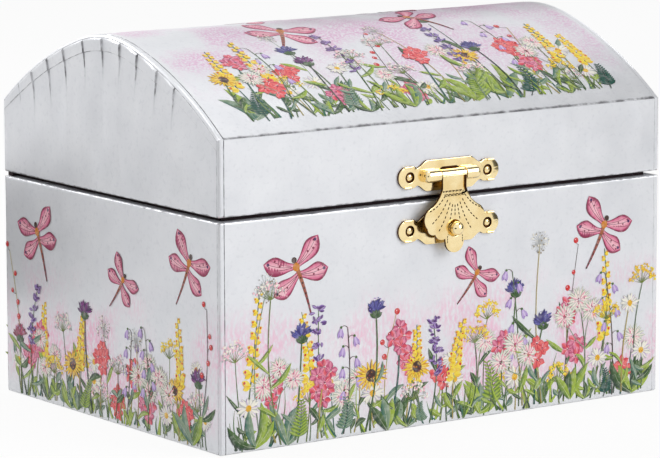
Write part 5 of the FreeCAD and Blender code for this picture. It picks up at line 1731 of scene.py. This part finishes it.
# %% [markdown]
# The dancer is a small moulded doll on a spring. Limbs are tubes whose radius changes along a path, which
# is close to how such a figure is sculpted. Sixteen sides and smooth shading are enough at this size.
# Bodice, shoes, hair and face are painted or moulded on, so they are pieces of their own with their own
# finish.

# %% Doll finishes
def plastic(name, fair, deep, rough):
    finish = Finish(name, Specular_IOR_Level=0.5)
    finish.colour(finish.clouds(2.5 * mm, 4.0), fair, deep)
    finish.put("Normal", finish.bump(finish.clouds(0.6 * mm, 3.0), 0.008 * mm))
    finish.rough(finish.clouds(1.5 * mm), rough, rough + 0.2)
    return finish


skin_tone = plastic("doll_skin", (248, 220, 198), (240, 204, 180), 0.3)
hair_tone = plastic("doll_hair", (122, 76, 44), (88, 52, 30), 0.25)
bodice_tone = plastic("doll_bodice", (240, 168, 190), (226, 138, 166), 0.15)
ivory = plastic("ivory_plastic", (246, 240, 232), (236, 228, 218), 0.2)
eye_tone = plastic("doll_features", (74, 46, 36), (56, 34, 28), 0.3)
print("doll finishes ready")

# %% [markdown]
# The figure stands on one toe, with the other foot at the knee and both arms raised. It could be sculpted
# freely, but shares of its height are easier to change: every place and radius is such a share.

# %% Limbs of the doll
figure_low, figure_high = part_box("dancer_figure")
spring_top = figure_low.z
foot_z = spring_top + 1 * mm
tall = (figure_high.z - foot_z) / 0.986
spindle_y = (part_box("turntable")[0].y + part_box("turntable")[1].y) / 2


def figure_point(x, y, z):
    """A place on the figure, in shares of its height."""
    return Vector((x * tall, spindle_y + y * tall, foot_z + z * tall))


def tube(path, sides=16):
    """Points and faces of a limb: (place, radius) pairs along it, rounded off at both ends."""
    places, radii = [place for place, _ in path], [radius * tall for _, radius in path]
    points = []
    for number, (place, radius) in enumerate(zip(places, radii)):
        ahead = (places[min(number + 1, len(places) - 1)] - places[max(number - 1, 0)]).normalized()
        aside = ahead.cross(Vector((0, 1, 0.01))).normalized()
        other = ahead.cross(aside)
        for angle in full_turn(sides):
            points.append(place + (aside * cos(angle) + other * sin(angle)) * radius)
    return points, tube_faces(len(path), sides)


def straight(start, end, profile):
    """Path from start to end whose profile gives (share of the way, radius) pairs."""
    first, last = figure_point(*start), figure_point(*end)
    return [(first + (last - first) * share, radius) for share, radius in profile]


def ball(middle, radius, stretch=1.0):
    """Path of a ball that is stretched upwards."""
    turns = [pi * step / 12 for step in range(1, 12)]
    x, y, z = middle
    return [(figure_point(x, y, z - radius * stretch * cos(turn)), radius * sin(turn))
            for turn in turns]


def raised_arm(way):
    """Path along an arc from the shoulder to above the head; the last steps are the hand."""
    path, steps, arc, arc_middle = [], 14, 0.165, 0.82
    for step in range(steps + 1):
        share = step / steps
        angle = radians(-80 + 152 * share)
        radius = (0.022 - 0.010 * share) * (1, 0.75, 0.3)[max(0, step - steps + 2)]
        place = figure_point(arc * cos(angle) * way, -0.02 * share, arc_middle + arc * sin(angle))
        path.append((place, radius))
    return path


def moulded(name, paths, finish, replaces=()):
    """A piece of the doll, made of limbs along the paths."""
    points, faces = joined(tube(path) for path in paths)
    tidy(piece(name, points, faces, finish, "dancer", replaces, 60))


print("dancer", round(tall / mm, 1), "mm tall")

# %% [markdown]
# Each limb is a list of pairs: how far along it, and how thick there. A calf is one pair more. Parts that
# share a finish go into one piece. A boolean could merge them; overlapping tubes look the same and can't
# fail.

# %% Doll
standing = ((0.1, 0.016), (0.2, 0.02), (0.32, 0.026), (0.42, 0.027), (0.52, 0.024), (0.7, 0.03),
            (0.9, 0.037), (1, 0.036))
thigh = ((0, 0.036), (0.3, 0.036), (0.6, 0.032), (0.85, 0.027), (1, 0.026), (1.08, 0.018))
shin = ((-0.1, 0.018), (0, 0.026), (0.25, 0.026), (0.5, 0.02), (0.8, 0.015), (0.92, 0.014))
toe, hip = (0, 0, 0), (-0.016, 0, 0.43)
raised_hip, knee, raised_foot = (0.024, 0, 0.43), (0.16, -0.06, 0.31), (0.02, -0.03, 0.235)
throat = ((0, 0.05), (0.12, 0.044), (0.3, 0.024), (0.5, 0.02), (1, 0.021))
neck = straight((0, 0, 0.66), (0, 0, 0.75), throat)
legs = [straight(toe, hip, standing), straight(raised_hip, knee, thigh), straight(knee, raised_foot, shin)]
head = ball((0, 0, 0.775), 0.046, 1.2)
moulded("dancer_body", legs + [neck, head, raised_arm(-1), raised_arm(1)], skin_tone, ["dancer_figure"])
bodice = ((0.42, 0.045), (0.44, 0.062), (0.46, 0.066), (0.49, 0.058), (0.535, 0.047), (0.575, 0.052),
          (0.615, 0.062), (0.645, 0.064), (0.665, 0.056), (0.67, 0.045))
moulded("dancer_bodice", [[(figure_point(0, 0, level), radius) for level, radius in bodice]], bodice_tone)
shoe = ((0, 0.008), (0.03, 0.014), (0.1, 0.0185), (0.16, 0.0195))
raised_shoe = ((0.78, 0.0165), (0.9, 0.017), (1, 0.014), (1.12, 0.007))
peg = [(Vector((0, spindle_y, z)), 0.03) for z in (spring_top, spring_top + 0.5 * mm, foot_z + 0.1 * mm)]
shoes = [straight(toe, hip, shoe), straight(knee, raised_foot, raised_shoe)]
moulded("dancer_shoes", shoes + [peg], bodice_tone)
moulded("dancer_hair", [ball((0, 0.012, 0.787), 0.049, 1.08), ball((0, 0.03, 0.838), 0.026)], hair_tone)
moulded("dancer_ribbon", [ball((0, 0.026, 0.818), 0.029, 0.3)], bodice_tone)
eyes = [ball((side * 0.016, -0.0435, 0.781), 0.0058, 1.3) for side in (-1, 1)]
moulded("dancer_eyes", eyes, eye_tone)
moulded("dancer_lips", [ball((0, -0.0425, 0.752), 0.0062, 0.5)], bodice_tone)
print("doll moulded with", len(legs), "leg pieces, two arms and a head")

# %% [markdown]
# A tutu is strips of stiff net, gathered at the waist so that they stand out in folds. Four rings of net,
# each a little higher and shorter, are made as waves that grow towards the edge.

# %% Tutu
tulle = Finish("pink_tulle", Roughness=0.7, Alpha=0.72, Sheen_Weight=0.4)
tulle.colour(tulle.clouds(1.2 * mm, 4.0), (250, 214, 224), (242, 180, 200))
mesh_holes = {"Vector": tulle.place, "Scale": 1 / (0.5 * mm)}
net = tulle.node("TexVoronoi", mesh_holes, feature="DISTANCE_TO_EDGE").outputs[0]
tulle.put("Normal", tulle.bump(net, 0.05 * mm))

tutu_low, tutu_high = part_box("tutu")
tutu_reach = tutu_high.x
waist = 0.06 * tall
folds, steps_per_fold, rings, layers = 22, 8, 9, 4
around = full_turn(folds * steps_per_fold)
net_points, net_faces = [], []
for layer in range(layers):
    first = len(net_points)
    reach = tutu_reach * (1 - 0.05 * layer)
    for ring in range(rings):
        share = ring / (rings - 1)
        for angle in around:
            wave = sin(folds * angle + 1.9 * layer) * share ** 1.3
            radius = waist + (reach - waist) * share + 0.25 * mm * share * sin(3 * angle + layer)
            height = tutu_low.z + 0.3 * mm + 0.55 * mm * layer + 0.8 * mm * (1 - share) + 0.75 * mm * wave
            place = rect(radius, angle)
            net_points.append(Vector((place.real, spindle_y + place.imag, height)))
    net_faces += grid_faces(rings, len(around), closed=True, first=first)
skirt = piece("gathered_tutu", net_points, net_faces, tulle, "dancer", ["tutu"], 180)

# %% [markdown]
# The musical movement and the boards stay as the model has them: their shapes are already exact. They get
# finishes and small round-offs: brushed steel for the comb, bedplate and arbors, brass for the wheels, grey
# card with fibres for the boards, pale wood for the block, and plain papers.

# %% Finishes of the hidden parts
def fibrous(name, fair, deep, fibre):
    finish = Finish(name, Roughness=0.85)
    finish.colour(finish.clouds(fibre, 5.0, stretch=(1, 1, 0.3)), fair, deep)
    finish.put("Normal", finish.bump(finish.clouds(fibre / 3, 4.0), 0.05 * mm))
    return finish


greyboard = fibrous("greyboard", (176, 172, 164), (150, 146, 138), 1.5 * mm)
bottom_paper = fibrous("bottom_paper", (232, 230, 226), (216, 214, 210), 3 * mm)
block_wood = fibrous("block_wood", (214, 178, 128), (184, 142, 94), 4 * mm)
steel = polished("steel", (206, 208, 212), (170, 172, 178), 0.4, 0.006 * mm)
brass = polished("brass", (232, 200, 120), (206, 168, 88), 0.35, 0.006 * mm)
black_plastic = plastic("fan_plastic", (46, 46, 48), (34, 34, 36), 0.3)
print("finishes for the boards and the movement ready")

# %% [markdown]
# Two hidden parts show after all, and deserve more than the model's plain solids: the dancer's spring is
# wound from round wire, and the three screws that hold the movement have slotted heads on the back of the
# box.

# %% Spring and screw heads
spring_low, spring_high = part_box("dancer_spring")
wire_radius, spring_turns, wire_sides, steps_per_turn = 0.33 * mm, 5, 8, 24
coil_radius = spring_high.x - wire_radius
spring_points = []
for step in range(spring_turns * steps_per_turn + 1):
    share = step / (spring_turns * steps_per_turn)
    angle = 2 * pi * spring_turns * share
    spoke = Vector((cos(angle), sin(angle), 0))
    rise = spring_low.z + wire_radius + (spring_high.z - spring_low.z - 2 * wire_radius) * share
    for turn in full_turn(wire_sides):
        reach = spoke * (coil_radius + wire_radius * cos(turn))
        spring_points.append(Vector((reach.x, spindle_y + reach.y, rise + wire_radius * sin(turn))))
spring_faces = tube_faces(len(spring_points) // wire_sides, wire_sides)
coil_spring = piece("coil_spring", spring_points, spring_faces, steel, None, ["dancer_spring"])
tidy(coil_spring)
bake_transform(coil_spring)

screw_count, slot_depth = 3, 0.45 * mm
for number, (low, high) in enumerate(parts_of("movement_screws", screw_count)):
    middle, radius = complex((low.x + high.x) / 2, (low.z + high.z) / 2), (high.x - low.x) / 2
    rim = list(reversed(circle(middle, radius, 28)))
    slot = dash(middle, radians(25 + 50 * number), 1.716 * radius, 0.28 * radius)
    # The screw slots' walls and floors take the dark brass as painted shade.
    pressed_plate("movement_screw_" + str(number + 1), rim, [], [(slot, slot_depth)], half_depth - 0.1 * mm,
                  high.y, "base", ["movement_screws"] if number == 0 else [], steel)
print("spring of", spring_turns, "turns and", screw_count, "screw heads")

# %% [markdown]
# The rest needs no new shape, so its finishes go onto the model's own pieces. Edges could be rounded in the
# model, which would make it heavy; a bevel modifier does it for the looks alone.

# %% Dress the pieces as they are
as_modelled = [
    (greyboard, 0, ["floor_board", "front_board", "back_board", "left_end_board", "right_end_board",
                    "lid_front_rail", "lid_back_rail"]),
    (satin, 0, ["lid_left_end", "lid_right_end", "lid_dome"]),
    (bottom_paper, 0, ["bottom_sheet"]),
    (block_wood, 0.2 * mm, ["movement_block"]),
    (steel, 0.06 * mm, ["bedplate", "comb", "comb_screws", "cylinder_arbor", "governor_bracket",
                        "winding_arbor", "stop_wire"]),
    (brass, 0.04 * mm, ["pinned_cylinder", "cylinder_gear", "spring_barrel", "governor_wheel",
                        "governor_worm", "spindle_bush"]),
    (black_plastic, 0.05 * mm, ["governor_fan"]),
    (ivory, 0.3 * mm, ["turntable"]),
    (gold_plate, 0.45 * mm, ["winding_key"]),
]
for finish, soften, names in as_modelled:
    for name in names:
        dress_node(name, finish, soften)
print("finished", sum(len(names) for _, _, names in as_modelled), "pieces of the model as they are")
